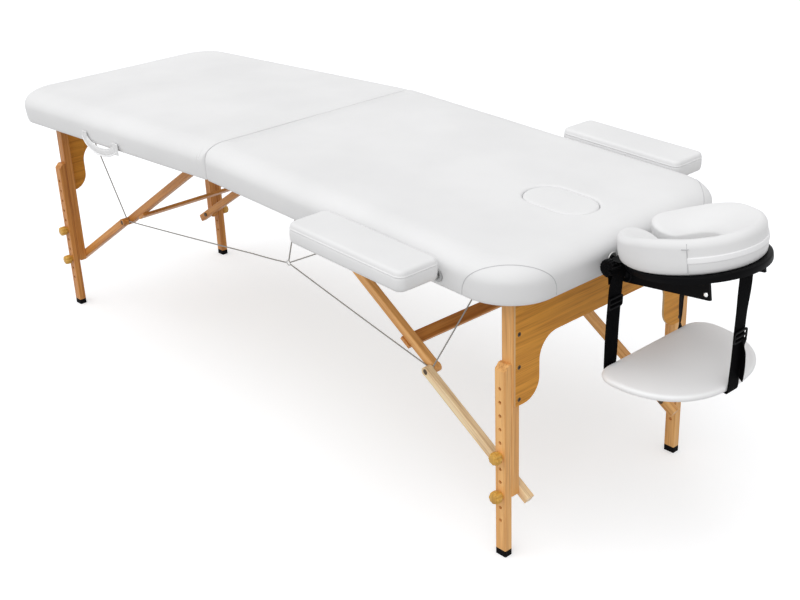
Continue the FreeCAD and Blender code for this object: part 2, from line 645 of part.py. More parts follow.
def cables(end, side):
    """Runs of one half on one side, in the floor frame."""
    sign = 1 if end == "head" else -1
    y = side * size(f"{end}_cable_y")
    knuckle = FreeCAD.Vector(sign * size("knuckle_x"), y, size("knuckle_z"))
    ring_y = side * size("head_cable_y")
    ring = FreeCAD.Vector(size("ring_x"), ring_y, size("ring_z"))
    eye = size("cable_eye")
    clear = size("ring_radius") + size("ring_wire") + size("soft_gap")
    runs = [cable_run(knuckle, under_deck(end, size("cable_end_reach"), y), eye, 0),
            cable_run(knuckle, ring, eye, clear)]
    if end == "head":
        for reach in ("bridle_near", "bridle_far"):
            runs.append(cable_run(ring, under_deck(end, size(reach), ring_y), clear, 0))
        runs.append(Part.makeTorus(size("ring_radius"), size("ring_wire"), ring, FreeCAD.Vector(0, 1, 0)))
    return runs


for end in ("head", "foot"):
    runs = [solid_of(run) for side in (-1, 1) for run in cables(end, side)]
    node(f"{end}_cables", runs, "floor")


# Carry handle: a padded strap sewn to the near side of the foot half, sagging between its tabs
def carry_handle():
    """Strap that follows an arc; the near side of the foot half is at positive y in its frame."""
    vector = FreeCAD.Vector
    y0 = size("half_width") + size("handle_clear")
    x0, x1 = size("handle_reach"), size("handle_reach") + size("handle_span")
    top = size("hinge_drop") + size("handle_rise")
    low = top - size("handle_sag")
    thick = size("handle_width")
    middle = (x0 + x1) / 2
    tab = size("handle_tab")
    points = [vector(x0, y0, top + tab), vector(x0, y0, top), vector(x1, y0, top), vector(x1, y0, top + tab),
              vector(x1 - tab, y0, top + tab), vector(x1 - tab, y0, top), vector(x0 + tab, y0, top),
              vector(x0 + tab, y0, top + tab)]
    bends = {1: vector(middle, y0, low), 5: vector(middle, y0, low + thick)}
    return Part.Face(polygon_arc(points, bends)).extrude(vector(0, size("handle_thickness"), 0))


node("carry_handle", [solid_of(carry_handle())], "foot")


# Armrests: padded boards on two steel pins that slide into bushes in the side rails
def armrest_pad(side):
    inner = size("half_width") + size("armrest_gap")
    bottom = size("armrest_bottom")
    x0, x1 = size("armrest_reach"), size("armrest_reach") + size("armrest_length")
    rows = rolled_sections(bottom, bottom + size("armrest_thickness"), size("armrest_tuck"),
                           size("armrest_roll"), size("armrest_crown"))
    half = size("armrest_width") / 2
    wires = []
    for z, inset in rows:
        corner = max(size("armrest_round") - inset, size("least_round"))
        wires.append(outline(x0 + inset, x1 - inset, half - inset, corner, corner, z))
    cushion = lofted(wires)
    cushion.translate(FreeCAD.Vector(0, side * (inner + half), 0))
    return cushion


PIN_SPOTS = ("first_pin_reach", "first_pin_reach + pin_spacing")


def armrest_pins(side):
    """Two pins and the plate under the pad that they are welded to."""
    inner = "half_width + armrest_gap"
    pins = [rod("y", "pin_radius", "half_width - pin_depth", "pin_depth + armrest_gap + armrest_width / 2",
                (spot, "pin_z")) for spot in PIN_SPOTS]
    strip = block(PIN_SPOTS, (f"{inner} + armrest_width / 4", f"{inner} + armrest_width / 2"),
                  ("armrest_bottom - bracket_plate", "armrest_bottom"))
    frame = fuse(*pins, strip)
    return frame if side > 0 else mirrored(frame)


def bushes():
    """Plain sleeves in the side rails and in the end rail."""
    def sleeve(axis, face, across):
        depth = "cover_wall + rail_thickness"
        body = rod(axis, "bush_radius", f"{face} - ({depth})", depth, across)
        bore = rod(axis, "pin_radius + running_clearance", f"{face} - ({depth}) - cutter_overrun",
                   f"{depth} + 2 * cutter_overrun", across)
        return cut(body, bore)
    sleeves = []
    for spot in PIN_SPOTS:
        sleeves += pair(sleeve("y", "half_width", (spot, "pin_z")))
    return sleeves + pair(sleeve("x", "half_length", ("rod_spacing / 2", "rod_z")))


for side, hand in ((-1, "near"), (1, "far")):
    node(f"{hand}_armrest_pad", [solid_of(armrest_pad(side))], "head")
    node(f"{hand}_armrest_pins", [armrest_pins(side)], "head")
node("head_bushes", bushes(), "head")

# Face rest: rods and yoke, tilting arms with platform and ring cushion, locking knob
yoke_x = ("yoke_reach - yoke_width / 2", "yoke_reach + yoke_width / 2")
yoke_half = "arm_spacing / 2 - arm_plate / 2 - soft_gap"
rods = [rod("x", "rod_radius", "half_length - rod_depth", "yoke_reach - half_length + rod_depth",
            (f"{sign} * rod_spacing / 2", "rod_z")) for sign in (-1, 1)]
yoke = block(yoke_x, (f"-({yoke_half})", yoke_half), ("rod_z - yoke_height / 2", "rod_z + yoke_height / 2"))
lug = block(("yoke_reach", "tilt_reach"), (f"-({yoke_half})", yoke_half),
            ("tilt_z - yoke_height / 2", "tilt_z + yoke_height / 2"))
nose = rod("y", "yoke_height / 2", f"-({yoke_half})", f"2 * ({yoke_half})", ("tilt_reach", "tilt_z"))
shaft_half = "arm_outer + bolt_head_rise"
shaft = rod("y", "bolt_radius", f"-({shaft_half})", f"2 * ({shaft_half})", ("tilt_reach", "tilt_z"))
knob_hole = rod("y", "bolt_hole", f"-({yoke_half}) - cutter_overrun", "yoke_height", ("yoke_reach", "rod_z"))
node("face_rest_yoke", [cut(fuse(*rods, yoke, lug, nose, shaft), knob_hole)], "head")


def tilt_arm():
    """Tapered side plate from the tilt shaft to the rivet under the platform."""
    vector = FreeCAD.Vector
    radius = size("arm_root_radius")
    pivot = vector(size("tilt_reach"), 0, size("tilt_z"))
    top = size("plate_z")
    end_x = size("tilt_reach") + size("arm_length")
    points = [vector(pivot.x - radius, 0, pivot.z), vector(pivot.x, 0, pivot.z - radius),
              vector(end_x, 0, top - size("arm_end_height")), vector(end_x, 0, top),
              vector(pivot.x + radius, 0, top), vector(pivot.x, 0, pivot.z + radius)]
    turn = radius * math.sqrt(0.5)
    bends = {0: pivot + vector(-turn, 0, -turn), 5: pivot + vector(-turn, 0, turn)}
    start = size("arm_spacing") / 2 - size("arm_plate") / 2
    plate = Part.Face(polygon_arc(points, bends)).extrude(vector(0, size("arm_plate"), 0))
    plate.translate(vector(0, start, 0))
    bore = Part.makeCylinder(size("bolt_hole"), 4 * size("arm_plate"),
                             pivot + vector(0, start - size("arm_plate"), 0), vector(0, 1, 0))
    return solid_of(plate.cut(bore))


strap_z = "plate_z - strap_bar_radius - platform_plate"
hung_x = f"tilt_reach - strap_bar_setback * rest_cos - ({strap_z} - tilt_z) * rest_sin"
hung_z = f"tilt_z - strap_bar_setback * rest_sin + ({strap_z} - tilt_z) * rest_cos"
bar_half = "arm_outer + strap_width + 2 * strap_inset"
strap_bar = rod("y", "strap_bar_radius", "arm_spacing / 2", f"{bar_half} - arm_spacing / 2",
                ("strap_bar_reach", strap_z))
node("face_rest_arms", pair(fuse(tilt_arm(), strap_bar)), "face_rest")

disc = rod("z", "platform_radius", "plate_z", "platform_plate", ("rest_centre", "0"))
eye_hole = rod("z", "platform_hole_radius", "plate_z - cutter_overrun", "platform_plate + 2 * cutter_overrun",
               ("cushion_centre", "0"))
node("face_rest_platform", [cut(disc, eye_hole)], "face_rest")


def ring_outline(half_width, z):
    """Horseshoe outline about the cushion's centre, open towards the table."""
    vector = FreeCAD.Vector
    radius = size("cushion_ring_radius")
    stop = math.radians(180 - size("cushion_opening_angle"))

    def at(r, angle):
        return vector(size("cushion_centre") + r * math.cos(angle), r * math.sin(angle), z)

    def cap(sign):
        """Middle of the rounded end, half a width past the opening's edge."""
        centre = at(radius, sign * stop)
        return centre + vector(-math.sin(stop), sign * math.cos(stop), 0) * half_width

    outer, inner = radius + half_width, radius - half_width
    quarter = math.sqrt(0.5)

    def cap_bend(sign, out):
        centre = at(radius, sign * stop)
        radial = (at(radius + 1, sign * stop) - centre) * out
        along = vector(-math.sin(stop), sign * math.cos(stop), 0)
        return centre + (radial + along) * (half_width * quarter)

    points = [at(outer, -stop), at(outer, 0), at(outer, stop), cap(1), at(inner, stop), at(inner, 0),
              at(inner, -stop), cap(-1)]
    bends = {0: at(outer, -stop / 2), 1: at(outer, stop / 2), 2: cap_bend(1, 1), 3: cap_bend(1, -1),
             4: at(inner, stop / 2), 5: at(inner, -stop / 2), 6: cap_bend(-1, -1), 7: cap_bend(-1, 1)}
    return polygon_arc(points, bends)


bottom = size("plate_z") + size("platform_plate")
rows = rolled_sections(bottom, bottom + size("cushion_thickness"), size("cushion_tuck"),
                       size("cushion_roll"), 0)
wires = [ring_outline(size("cushion_half_width") - inset, z) for z, inset in rows]
node("face_cushion", [solid_of(lofted(wires))], "face_rest")

knob_face = "-arm_outer - soft_gap"
grip = rod("y", "rest_knob_radius", f"{knob_face} - rest_knob_length", "rest_knob_length",
           ("yoke_reach", "rod_z"))
stem = rod("y", "bolt_radius", knob_face, "yoke_height", ("yoke_reach", "rod_z"))
node("face_rest_knob", [fuse(grip, stem)], "head")


# Arm shelf hung from the face rest on three webbing straps with slide buckles
def shelf_outline(inset, z):
    """Half-moon: straight edge towards the table, rounded tips and an oval front."""
    vector = FreeCAD.Vector
    half = size("shelf_half_width") - inset
    x0 = size("tilt_reach") + inset
    depth = size("shelf_depth") - 2 * inset
    tip = size("shelf_tip_round")

    def front(angle):
        full = size("shelf_fullness")
        ahead, aside = max(math.cos(angle), 0) ** full, abs(math.sin(angle)) ** full
        return vector(x0 + tip + (depth - tip) * ahead, math.copysign(half * aside, angle), z)

    points = [front(-math.pi / 2), front(-math.pi / 4), front(0), front(math.pi / 4), front(math.pi / 2),
              vector(x0, half - tip, z), vector(x0, -half + tip, z)]
    chord = tip * (1 - math.sqrt(0.5))
    bends = {0: front(-math.pi * 3 / 8), 1: front(-math.pi / 8), 2: front(math.pi / 8),
             3: front(math.pi * 3 / 8), 4: vector(x0 + chord, half - chord, z),
             6: vector(x0 + chord, -half + chord, z)}
    return polygon_arc(points, bends)


shelf_top = size("hinge_drop") + size("shelf_rise")
shelf_low = shelf_top - size("shelf_thickness")
roll = size("shelf_roll")
rows = [(shelf_low, size("shelf_tuck")), (shelf_low + size("shelf_thickness") / 2, 0),
        (shelf_top - roll / 2, size("shelf_tuck") / 2), (shelf_top, roll),
        (shelf_top + size("shelf_crown"), 6 * roll)]
shelf = solid_of(lofted(shelf_outline(inset, z) for z, inset in rows))
node("arm_shelf", [shelf], "head")



def strap(reach, y, top, inwards):
    """Webbing that hangs past an edge of the shelf and is sewn to its underside."""
    near, far = f"{reach} - strap_thickness / 2", f"{reach} + strap_thickness / 2"
    under = "hinge_drop + shelf_rise - shelf_thickness"
    run = block((near, far), y, (f"{under} - strap_thickness", top))
    wrap = (near, f"{reach} + strap_wrap") if inwards > 0 else (f"{reach} - strap_wrap", far)
    return fuse(run, block(wrap, y, (f"{under} - strap_thickness", under)))


rear_y = ("arm_outer + strap_inset", "arm_outer + strap_inset + strap_width")
front_y = ("-strap_width / 2", "strap_width / 2")
rear = strap(hung_x, rear_y, f"{hung_z} - strap_bar_radius - soft_gap", 1)
front = strap("front_strap_reach", front_y, "front_strap_top - soft_gap", -1)
node("shelf_straps", pair(rear) + [front], "head")


def buckle(reach, y, rise):
    """Slide buckle lying against the outer face of a strap."""
    face = f"{reach} + strap_thickness / 2"
    return block((face, f"{face} + buckle_thickness"),
                 (f"{y[0]} - buckle_overhang", f"{y[1]} + buckle_overhang"),
                 (f"hinge_drop + {rise}", f"hinge_drop + {rise} + buckle_height"))


buckles = pair(buckle(hung_x, rear_y, "rear_buckle_rise"))
node("strap_buckles", buckles + [buckle("front_strap_reach", front_y, "front_buckle_rise")], "head")

doc.recompute()
failed = [o.Label for o in doc.Objects if "Invalid" in o.State or "Error" in o.State]
failed += [n.Label for n in NODES if n.Shape.isNull() or not n.Shape.isValid()]
if failed:
    raise RuntimeError("not built: " + ", ".join(failed))
os.makedirs("parts", exist_ok=True)
for group in NODES:
    group.Shape.exportStep(f"parts/{group.Label}.step")
print(len(NODES), "nodes written")
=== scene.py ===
# %% [markdown]
# A folding massage table, dressed around its CAD frame. The frame stays where the CAD put it: every
# visible piece below is either a CAD node with a finish, or a surface worked out with numpy that
# stands for a soft or plain node; all but the straps, their tail and the buckles ride on the same body.

# %% Load the frame
import json
import math

import bmesh
import bpy
import numpy as np
from mathutils import Matrix, Vector


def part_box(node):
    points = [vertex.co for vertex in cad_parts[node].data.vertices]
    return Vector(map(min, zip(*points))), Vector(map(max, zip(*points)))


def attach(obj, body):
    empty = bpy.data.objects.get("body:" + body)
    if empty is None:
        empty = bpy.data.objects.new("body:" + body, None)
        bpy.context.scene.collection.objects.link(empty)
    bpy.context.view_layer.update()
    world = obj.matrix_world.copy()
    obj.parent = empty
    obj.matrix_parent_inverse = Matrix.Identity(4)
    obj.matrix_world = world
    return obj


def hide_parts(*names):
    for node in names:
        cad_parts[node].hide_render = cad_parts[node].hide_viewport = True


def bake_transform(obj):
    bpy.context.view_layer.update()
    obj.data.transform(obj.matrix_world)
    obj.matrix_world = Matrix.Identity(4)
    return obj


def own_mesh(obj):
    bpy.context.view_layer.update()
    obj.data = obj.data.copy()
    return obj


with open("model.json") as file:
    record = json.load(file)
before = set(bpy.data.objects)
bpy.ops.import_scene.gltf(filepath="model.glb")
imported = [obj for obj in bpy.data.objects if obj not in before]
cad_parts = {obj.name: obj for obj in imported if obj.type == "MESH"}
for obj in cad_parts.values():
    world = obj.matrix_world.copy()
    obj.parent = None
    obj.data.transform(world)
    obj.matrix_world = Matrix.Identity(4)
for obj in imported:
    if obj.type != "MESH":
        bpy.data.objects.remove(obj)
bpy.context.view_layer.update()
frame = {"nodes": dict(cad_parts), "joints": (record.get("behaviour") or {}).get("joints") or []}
NODES = frame["nodes"]
JOINTS = {joint["name"]: joint for joint in frame["joints"]}
ENDS, HANDS = ("head", "foot"), (("near", -1), ("far", 1))
scene = bpy.context.scene
scene.view_settings.view_transform = "Standard"


def add_object(name, data):
    """New object in the scene, standing at the origin."""
    made = bpy.data.objects.new(name, data)
    scene.collection.objects.link(made)
    return made


print(len(NODES), "CAD nodes")

# %% [markdown]
# The camera comes first, because everything is judged through it. Its angles were found by fitting
# the pad edges and the four feet. The photograph is slightly turned in its frame, so the view has a
# roll as well as an azimuth and an elevation.

# %% Camera
AZIMUTH, ELEVATION, ROLL = np.radians((48.6689, 24.7667, -2.3866))
CAMERA_PLACE = (2.425, -1.8849, 1.6091)
LENS_MM, SENSOR_MM = 56.91, 36.0


def camera_axes(azimuth, elevation, roll):
    """Right, up and back vectors of a camera: azimuth and elevation place it, roll turns it."""
    back = np.array((math.sin(azimuth) * math.cos(elevation),
                     -math.cos(azimuth) * math.cos(elevation), math.sin(elevation)))
    right = np.array((math.cos(azimuth), math.sin(azimuth), 0))
    up = np.cross(back, right)
    return (math.cos(roll) * right + math.sin(roll) * up,
            math.cos(roll) * up - math.sin(roll) * right, back)


camera = bpy.data.cameras.new("camera")
camera.lens = LENS_MM
camera.sensor_width = SENSOR_MM
scene.camera = add_object("camera", camera)
turn = Matrix([list(row) for row in np.array(camera_axes(AZIMUTH, ELEVATION, ROLL)).T]).to_4x4()
scene.camera.matrix_world = Matrix.Translation(CAMERA_PLACE) @ turn
print("camera at", CAMERA_PLACE)

# %% [markdown]
# Studio light: one very soft lamp high above, tipped towards the near side, a weaker one from the
# front, and an even surround. Both lamps are so far away that the floor is lit evenly. It is white to
# the camera but keeps part of its own shading, so the table throws the photograph's faint grey shadow.

# %% Light and floor
SURROUND, WHITE = 0.6, 1.0
LAMPS = {"overhead": ((-0.1, -0.4, 0.91), 70, 1.15), "front": ((0.62, -0.7, 0.36), 50, 0.5)}
FLOOR_REACH, FLOOR_GLOW, FLOOR_BOUNCE = 40.0, 0.41, 0.5
FLOOR_COLOUR = (0.785, 0.8, 0.82, 1)


def plug_in(tree, node, values):
    """Feed a node's inputs, known by name or number, with sockets or with constants."""
    for place, value in values.items():
        if isinstance(value, bpy.types.NodeSocket):
            tree.links.new(value, node.inputs[place])
        else:
            node.inputs[place].default_value = value
    return node


def add_node(tree, kind, values, **properties):
    """New shader node with its own properties set and its inputs fed."""
    node = tree.nodes.new(kind)
    for name, value in properties.items():
        setattr(node, name, value)
    return plug_in(tree, node, values)


def maths(tree, operation, first, second=0.0):
    """Socket of a math node on one or two values."""
    return add_node(tree, "ShaderNodeMath", {0: first, 1: second}, operation=operation).outputs[0]


def ranged(tree, source, low, high):
    """Socket that carries a value of 0 to 1 into the range from low to high."""
    values = {"Value": source, "To Min": low, "To Max": high}
    return add_node(tree, "ShaderNodeMapRange", values).outputs["Result"]


def seen_directly(tree):
    """Socket that is 1 for rays that come straight, or by gloss or glass, from the camera."""
    path = add_node(tree, "ShaderNodeLightPath", {}).outputs
    first = maths(tree, "MAXIMUM", path["Is Camera Ray"], path["Is Glossy Ray"])
    return maths(tree, "MAXIMUM", first, path["Is Transmission Ray"])


def grey(value):
    """Even colour of one brightness."""
    return (value, value, value, 1)


scene.world = bpy.data.worlds.new("surround")
scene.world.use_nodes = True
sky = scene.world.node_tree
plug_in(sky, sky.nodes["Background"],
        {"Color": grey(1), "Strength": ranged(sky, seen_directly(sky), SURROUND, WHITE)})

for label, (source, wide, power) in LAMPS.items():
    lamp = bpy.data.lights.new(label, "SUN")
    lamp.angle = math.radians(wide)
    lamp.energy = power
    holder = add_object(label, lamp)
    holder.rotation_mode = "QUATERNION"
    holder.rotation_quaternion = Vector(source).to_track_quat("Z", "Y")

floor_mesh = bpy.data.meshes.new("floor")
corners = [(x * FLOOR_REACH, y * FLOOR_REACH, 0) for x, y in ((-1, -1), (1, -1), (1, 1), (-1, 1))]
floor_mesh.from_pydata(corners, [], [(0, 1, 2, 3)])
floor = add_object("floor", floor_mesh)
floor_finish = bpy.data.materials.new("floor white")
floor_finish.use_nodes = True
tree = floor_finish.node_tree
tree.nodes.clear()
shade = add_node(tree, "ShaderNodeBsdfDiffuse", {"Color": FLOOR_COLOUR}).outputs[0]
bounce = add_node(tree, "ShaderNodeBsdfDiffuse", {"Color": grey(FLOOR_BOUNCE)}).outputs[0]
glow = add_node(tree, "ShaderNodeEmission", {"Color": grey(FLOOR_GLOW)}).outputs[0]
both = add_node(tree, "ShaderNodeAddShader", {0: shade, 1: glow}).outputs[0]
choice = add_node(tree, "ShaderNodeMixShader", {0: seen_directly(tree), 1: bounce, 2: both})
add_node(tree, "ShaderNodeOutputMaterial", {0: choice.outputs[0]})
floor_mesh.materials.append(floor_finish)
print(len(LAMPS), "lamps and a floor")

# %% [markdown]
# Every piece is a grid of points: one parameter runs round or along it, the other across. This helper
# turns such a grid into a mesh, joins what wraps round, merges poles and points the faces outwards.

# %% From a grid of points to a piece
MERGE, CREASE = 1e-6, math.radians(50)


def grid_piece(name, grid, around=True, across=False, uv=None):
    """Piece from an array of rows x columns x 3; around closes the rows, across the columns."""
    rows, columns = grid.shape[:2]
    i = np.arange(rows if around else rows - 1)[:, None]
    j = np.arange(columns if across else columns - 1)[None, :]
    i2, j2 = (i + 1) % rows, (j + 1) % columns
    quads = np.stack([i * columns + j, i2 * columns + j, i2 * columns + j2, i * columns + j2], -1)
    quads = quads.reshape(-1, 4)
    mesh = bpy.data.meshes.new(name)
    mesh.from_pydata(grid.reshape(-1, 3), [], quads)
    if uv is not None:
        layer = mesh.uv_layers.new(name="UVMap")
        layer.data.foreach_set("uv", uv.reshape(-1, 2)[quads.ravel()].astype(np.float32).ravel())
    shape = bmesh.new()
    shape.from_mesh(mesh)
    bmesh.ops.remove_doubles(shape, verts=shape.verts, dist=MERGE)
    bmesh.ops.dissolve_degenerate(shape, edges=shape.edges, dist=MERGE)
    bmesh.ops.recalc_face_normals(shape, faces=shape.faces)
    shape.to_mesh(mesh)
    shape.free()
    mesh.shade_smooth()
    mesh.set_sharp_from_angle(angle=CREASE)
    return add_object(name, mesh)


def dress(piece, finish, body=None, stands_for=()):
    """Give a new piece its finish, and let it ride on a body in place of CAD nodes."""
    piece.data.materials.append(finish)
    if body:
        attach(piece, body)
    if stands_for:
        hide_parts(*stands_for)
    return piece


print("faces join within", MERGE, "m")

# %% [markdown]
# There are two ways to make such a grid: a round or flat section is carried along a path, or a profile
# is turned about an axis. Straps, seams and cables come from the first, knobs from the second.

# %% Swept and turned pieces
ALONG, ACROSS = (1.0, 0.0, 0.0), (0.0, 1.0, 0.0)


def unit(vectors):
    """Vectors divided by their own length."""
    return vectors / np.linalg.norm(vectors, axis=-1, keepdims=True)


def places(*coordinates):
    """Points from their coordinates, each given as one number or as many."""
    return np.stack(np.broadcast_arrays(*coordinates), -1)


def lifted(plan, height):
    """Points of a plan with one more coordinate: one height, or a height for each."""
    return np.concatenate([plan, np.broadcast_to(height, plan.shape[:-1])[..., None]], -1)


def rays(turn):
    """Unit vectors in a plane at the given angles."""
    return places(np.cos(turn), np.sin(turn))


def run_length(points):
    """Distance along a line of points, from its start to each point."""
    return np.r_[0, np.cumsum(np.linalg.norm(np.diff(points, axis=0), axis=1))]


def swept(name, path, side, section, closed=False):
    """Carry a section (across, up) along a path; side is the direction of the section's first axis."""
    if closed:
        along = unit(np.roll(path, -1, 0) - np.roll(path, 1, 0))
    else:
        along = unit(np.gradient(path, axis=0))
    side = np.broadcast_to(np.array(side, float), path.shape)
    side = unit(side - (side * along).sum(-1, keepdims=True) * along)
    up = np.cross(along, side)
    grid = path[:, None] + section[None, :, :1] * side[:, None] + section[None, :, 1:] * up[:, None]
    uv = np.stack(np.meshgrid(run_length(path), run_length(section), indexing="ij"), -1)
    if not closed:
        grid = np.concatenate([path[None, :1].repeat(len(section), 1), grid,
                               path[None, -1:].repeat(len(section), 1)])
        uv = np.concatenate([uv[:1], uv, uv[-1:]])
    return grid_piece(name, grid, around=closed, across=True, uv=uv)


def circle(sides):
    """Points of a unit circle."""
    return rays(np.linspace(0, 2 * np.pi, sides, endpoint=False))


def round_section(radius, sides):
    """Round wire: a circle of the given radius."""
    return radius * circle(sides)


def flat_section(width, thickness, power=5.0, sides=28):
    """Flat strip with rounded edges: a superellipse."""
    shape = circle(sides)
    return np.sign(shape) * np.abs(shape) ** (2 / power) * (width / 2, thickness / 2)


def lathe(name, profile, centre, axis, across, steps=64, lobes=None):
    """Turn a profile of (radius, height) about an axis; lobes gives a factor on the radius by angle,
    and the profile's third column says how much of it each row takes."""
    turn = np.linspace(0, 2 * np.pi, steps, endpoint=False)[:, None]
    radius = profile[None, :, 0]
    if lobes:
        radius = radius * (1 + (lobes(turn) - 1) * profile[None, :, 2])
    axis, across = np.array(axis, float), np.array(across, float)
    other = np.cross(axis, across)
    grid = (np.array(centre) + radius[..., None] * (np.cos(turn)[..., None] * across
            + np.sin(turn)[..., None] * other) + profile[None, :, 1, None] * axis)
    return grid_piece(name, grid)


print(len(flat_section(1, 1)), "points round a flat section")

# %% [markdown]
# Each half of the table leans down from the centre hinge by a couple of degrees. The joints in the
# frame say where the hinge is and which way the head half's normal points, so a point that is known
# along a half, across it and above its hinge can be carried into the shared frame. The face rest is
# turned up from the head half about its own pivot.

# %% The coordinates of the halves and of the face rest
HINGE_HEIGHT = JOINTS["table_fold"]["pos_m"][2]
LEAN_SIN, _, LEAN_COS = JOINTS["face_plug_lift"]["axis"]
TILT_REACH, TILT_LEVEL, REST_TILT = 1.044, 0.0305, math.radians(10)


def on_half(points, end="head"):
    """(along, across, above) on a half, in metres, to the shared frame; the foot half is its mirror."""
    along, across, above = np.moveaxis(np.asarray(points, float), -1, 0)
    sign = 1 if end == "head" else -1
    return places(sign * (along * LEAN_COS + above * LEAN_SIN), across,
                  HINGE_HEIGHT - along * LEAN_SIN + above * LEAN_COS)


def on_rest(points):
    """A point of the face rest, known as if it lay level with the head half, turned up about its pivot."""
    along, across, above = np.moveaxis(np.asarray(points, float), -1, 0)
    out, rise = along - TILT_REACH, above - TILT_LEVEL
    tilt_cos, tilt_sin = math.cos(REST_TILT), math.sin(REST_TILT)
    return on_half(places(TILT_REACH + out * tilt_cos - rise * tilt_sin, across,
                          TILT_LEVEL + out * tilt_sin + rise * tilt_cos))


REST_NORMAL = tuple(on_rest((0, 0, 1)) - on_rest((0, 0, 0)))
print("hinge height", HINGE_HEIGHT)

# %% [markdown]
# The finishes are node materials. These helpers make the nodes that they share: a place in the pattern,
# noise, waves, colour ramps, mixtures and bumps. Each returns the socket that carries its result.

# %% Shader helpers
def new_finish(name):
    """Node material, its tree and its main shader."""
    finish = bpy.data.materials.new(name)
    finish.use_nodes = True
    tree = finish.node_tree
    return finish, tree, tree.nodes["Principled BSDF"]


def pattern_space(tree, scale=(1, 1, 1), rotation=(0, 0, 0), location=(0, 0, 0), output="Object"):
    """Texture coordinates of the piece, turned first and then stretched."""
    place = add_node(tree, "ShaderNodeTexCoord", {}).outputs[output]
    values = {"Vector": place, "Scale": tuple(1 / value for value in scale), "Rotation": rotation,
              "Location": location}
    return add_node(tree, "ShaderNodeMapping", values, vector_type="TEXTURE").outputs["Vector"]


def noise(tree, space, scale, detail, **more):
    """Cloudy noise of 0 to 1."""
    values = {"Vector": space, "Scale": scale, "Detail": detail, **more}
    return add_node(tree, "ShaderNodeTexNoise", values).outputs["Fac"]


def wave(tree, space, scale, direction, distortion=0.0):
    """Sine bands of 0 to 1 along one axis."""
    values = {"Vector": space, "Scale": scale, "Distortion": distortion}
    return add_node(tree, "ShaderNodeTexWave", values, bands_direction=direction).outputs["Fac"]


def colour_ramp(tree, source, stops):
    """Colour by value, blended between (place, colour) stops."""
    ramp = add_node(tree, "ShaderNodeValToRGB", {"Fac": source})
    elements = ramp.color_ramp.elements
    while len(elements) < len(stops):
        elements.new(0.5)
    for element, (place, colour) in zip(elements, stops):
        element.position = place
        element.color = (*colour, 1)
    return ramp.outputs["Color"]


def mixed(tree, share, first, second, blend="MIX"):
    """First colour with a share of the second blended over it."""
    node = add_node(tree, "ShaderNodeMix", {0: share, 6: first, 7: second}, data_type="RGBA",
                    blend_type=blend)
    return node.outputs[2]


def part_of(tree, vector, axis):
    """One coordinate of a vector."""
    return add_node(tree, "ShaderNodeSeparateXYZ", {0: vector}).outputs[axis]


def bump(tree, height, distance, strength, below=None):
    """Normal that is bumped by a height, over an earlier bump if there is one."""
    values = {"Height": height, "Distance": distance, "Strength": strength}
    if below is not None:
        values["Normal"] = below
    return add_node(tree, "ShaderNodeBump", values).outputs["Normal"]


print("shader helpers ready")

# %% [markdown]
# White artificial leather: nearly even in colour, satin, with a fine pebble grain and broad faint
# changes of gloss. The grain is bump from a cell pattern of about a millimetre.

# %% Finishes for the cover
def cover_finish(name, dark, light, grain=620.0):
    """Colour from broad clouds, gloss from creases, and bumps from the creases and the pebble grain."""
    finish, tree, shader = new_finish(name)
    space = pattern_space(tree)
    cloud = noise(tree, space, 4.0, 3.0)
    crease = noise(tree, space, 38.0, 5.0, Roughness=0.6)
    pebble = add_node(tree, "ShaderNodeTexVoronoi", {"Vector": space, "Scale": grain},
                      feature="DISTANCE_TO_EDGE").outputs["Distance"]
    plug_in(tree, shader, {"Base Color": colour_ramp(tree, cloud, ((0.35, dark), (0.65, light))),
                           "Roughness": ranged(tree, crease, 0.42, 0.56), "Specular IOR Level": 0.38,
                           "Normal": bump(tree, pebble, 0.0002, 0.35, bump(tree, crease, 0.0004, 0.25))})
    return finish


COVER = cover_finish("white artificial leather", (0.8, 0.8, 0.805), (0.845, 0.845, 0.85))
# The shelf's cover is the same white leather painted brighter: painted light for the shade under the face
# rest.
SHELF_COVER_PAINTED_LIGHT = cover_finish("shelf leather with painted light", (0.95, 0.95, 0.955), (0.97, 0.97, 0.975))
# Seams are grey: painted shade, as in the crease of a sewn seam, on a fine roll.
SEAM_SHADE = cover_finish("seam in shade", (0.54, 0.54, 0.55), (0.62, 0.62, 0.63))
BAND = cover_finish("bright band", (0.93, 0.93, 0.94), (0.97, 0.97, 0.98), 900.0)
print("covers:", COVER.name, SHELF_COVER_PAINTED_LIGHT.name, SEAM_SHADE.name, BAND.name, sep=" / ")

# %% [markdown]
# Lacquered beech or birch: long streaks along the grain, finer fibres over them, and short dark pores.
# The pattern is noise that is stretched along the grain, so each piece gets the direction of its own
# length, and its own place in the pattern so that no two pieces match.

# %% Finishes for the wood
ALONG_X, ALONG_Y, ALONG_Z = (0, 0, 0), (0, 0, math.pi / 2), (0, -math.pi / 2, 0)
STREAK_PITCH, STREAK, FIBRE = 1.6, 55.0, (9, 300, 300)
PORES, PORE_SHARE = ((0.3, (0.66, 0.56, 0.48)), (0.52, (1.0, 1.0, 1.0))), 0.7
VENEER_STREAK, PLY_PITCH, PLY_SWAY, FACE_LIMIT = 95.0, 210.0, 0.4, 0.7


def wood_colour(tree, grain, place, tones, streak):
    """Colour socket and fibre socket of streaky wood with its grain along the mapped x axis: broad noise
    picks the tone, and fine noise multiplies pores over it."""
    dark, light = tones
    broad = noise(tree, pattern_space(tree, (STREAK_PITCH, streak, streak), grain, place), 1.0, 4.0,
                  Distortion=0.8)
    fibre = noise(tree, pattern_space(tree, FIBRE, grain, place), 1.0, 3.0)
    middle = tuple((a + b) / 2 for a, b in zip(dark, light))
    base = colour_ramp(tree, broad, ((0.3, dark), (0.48, middle), (0.66, light)))
    return mixed(tree, PORE_SHARE, base, colour_ramp(tree, fibre, PORES), "MULTIPLY"), fibre


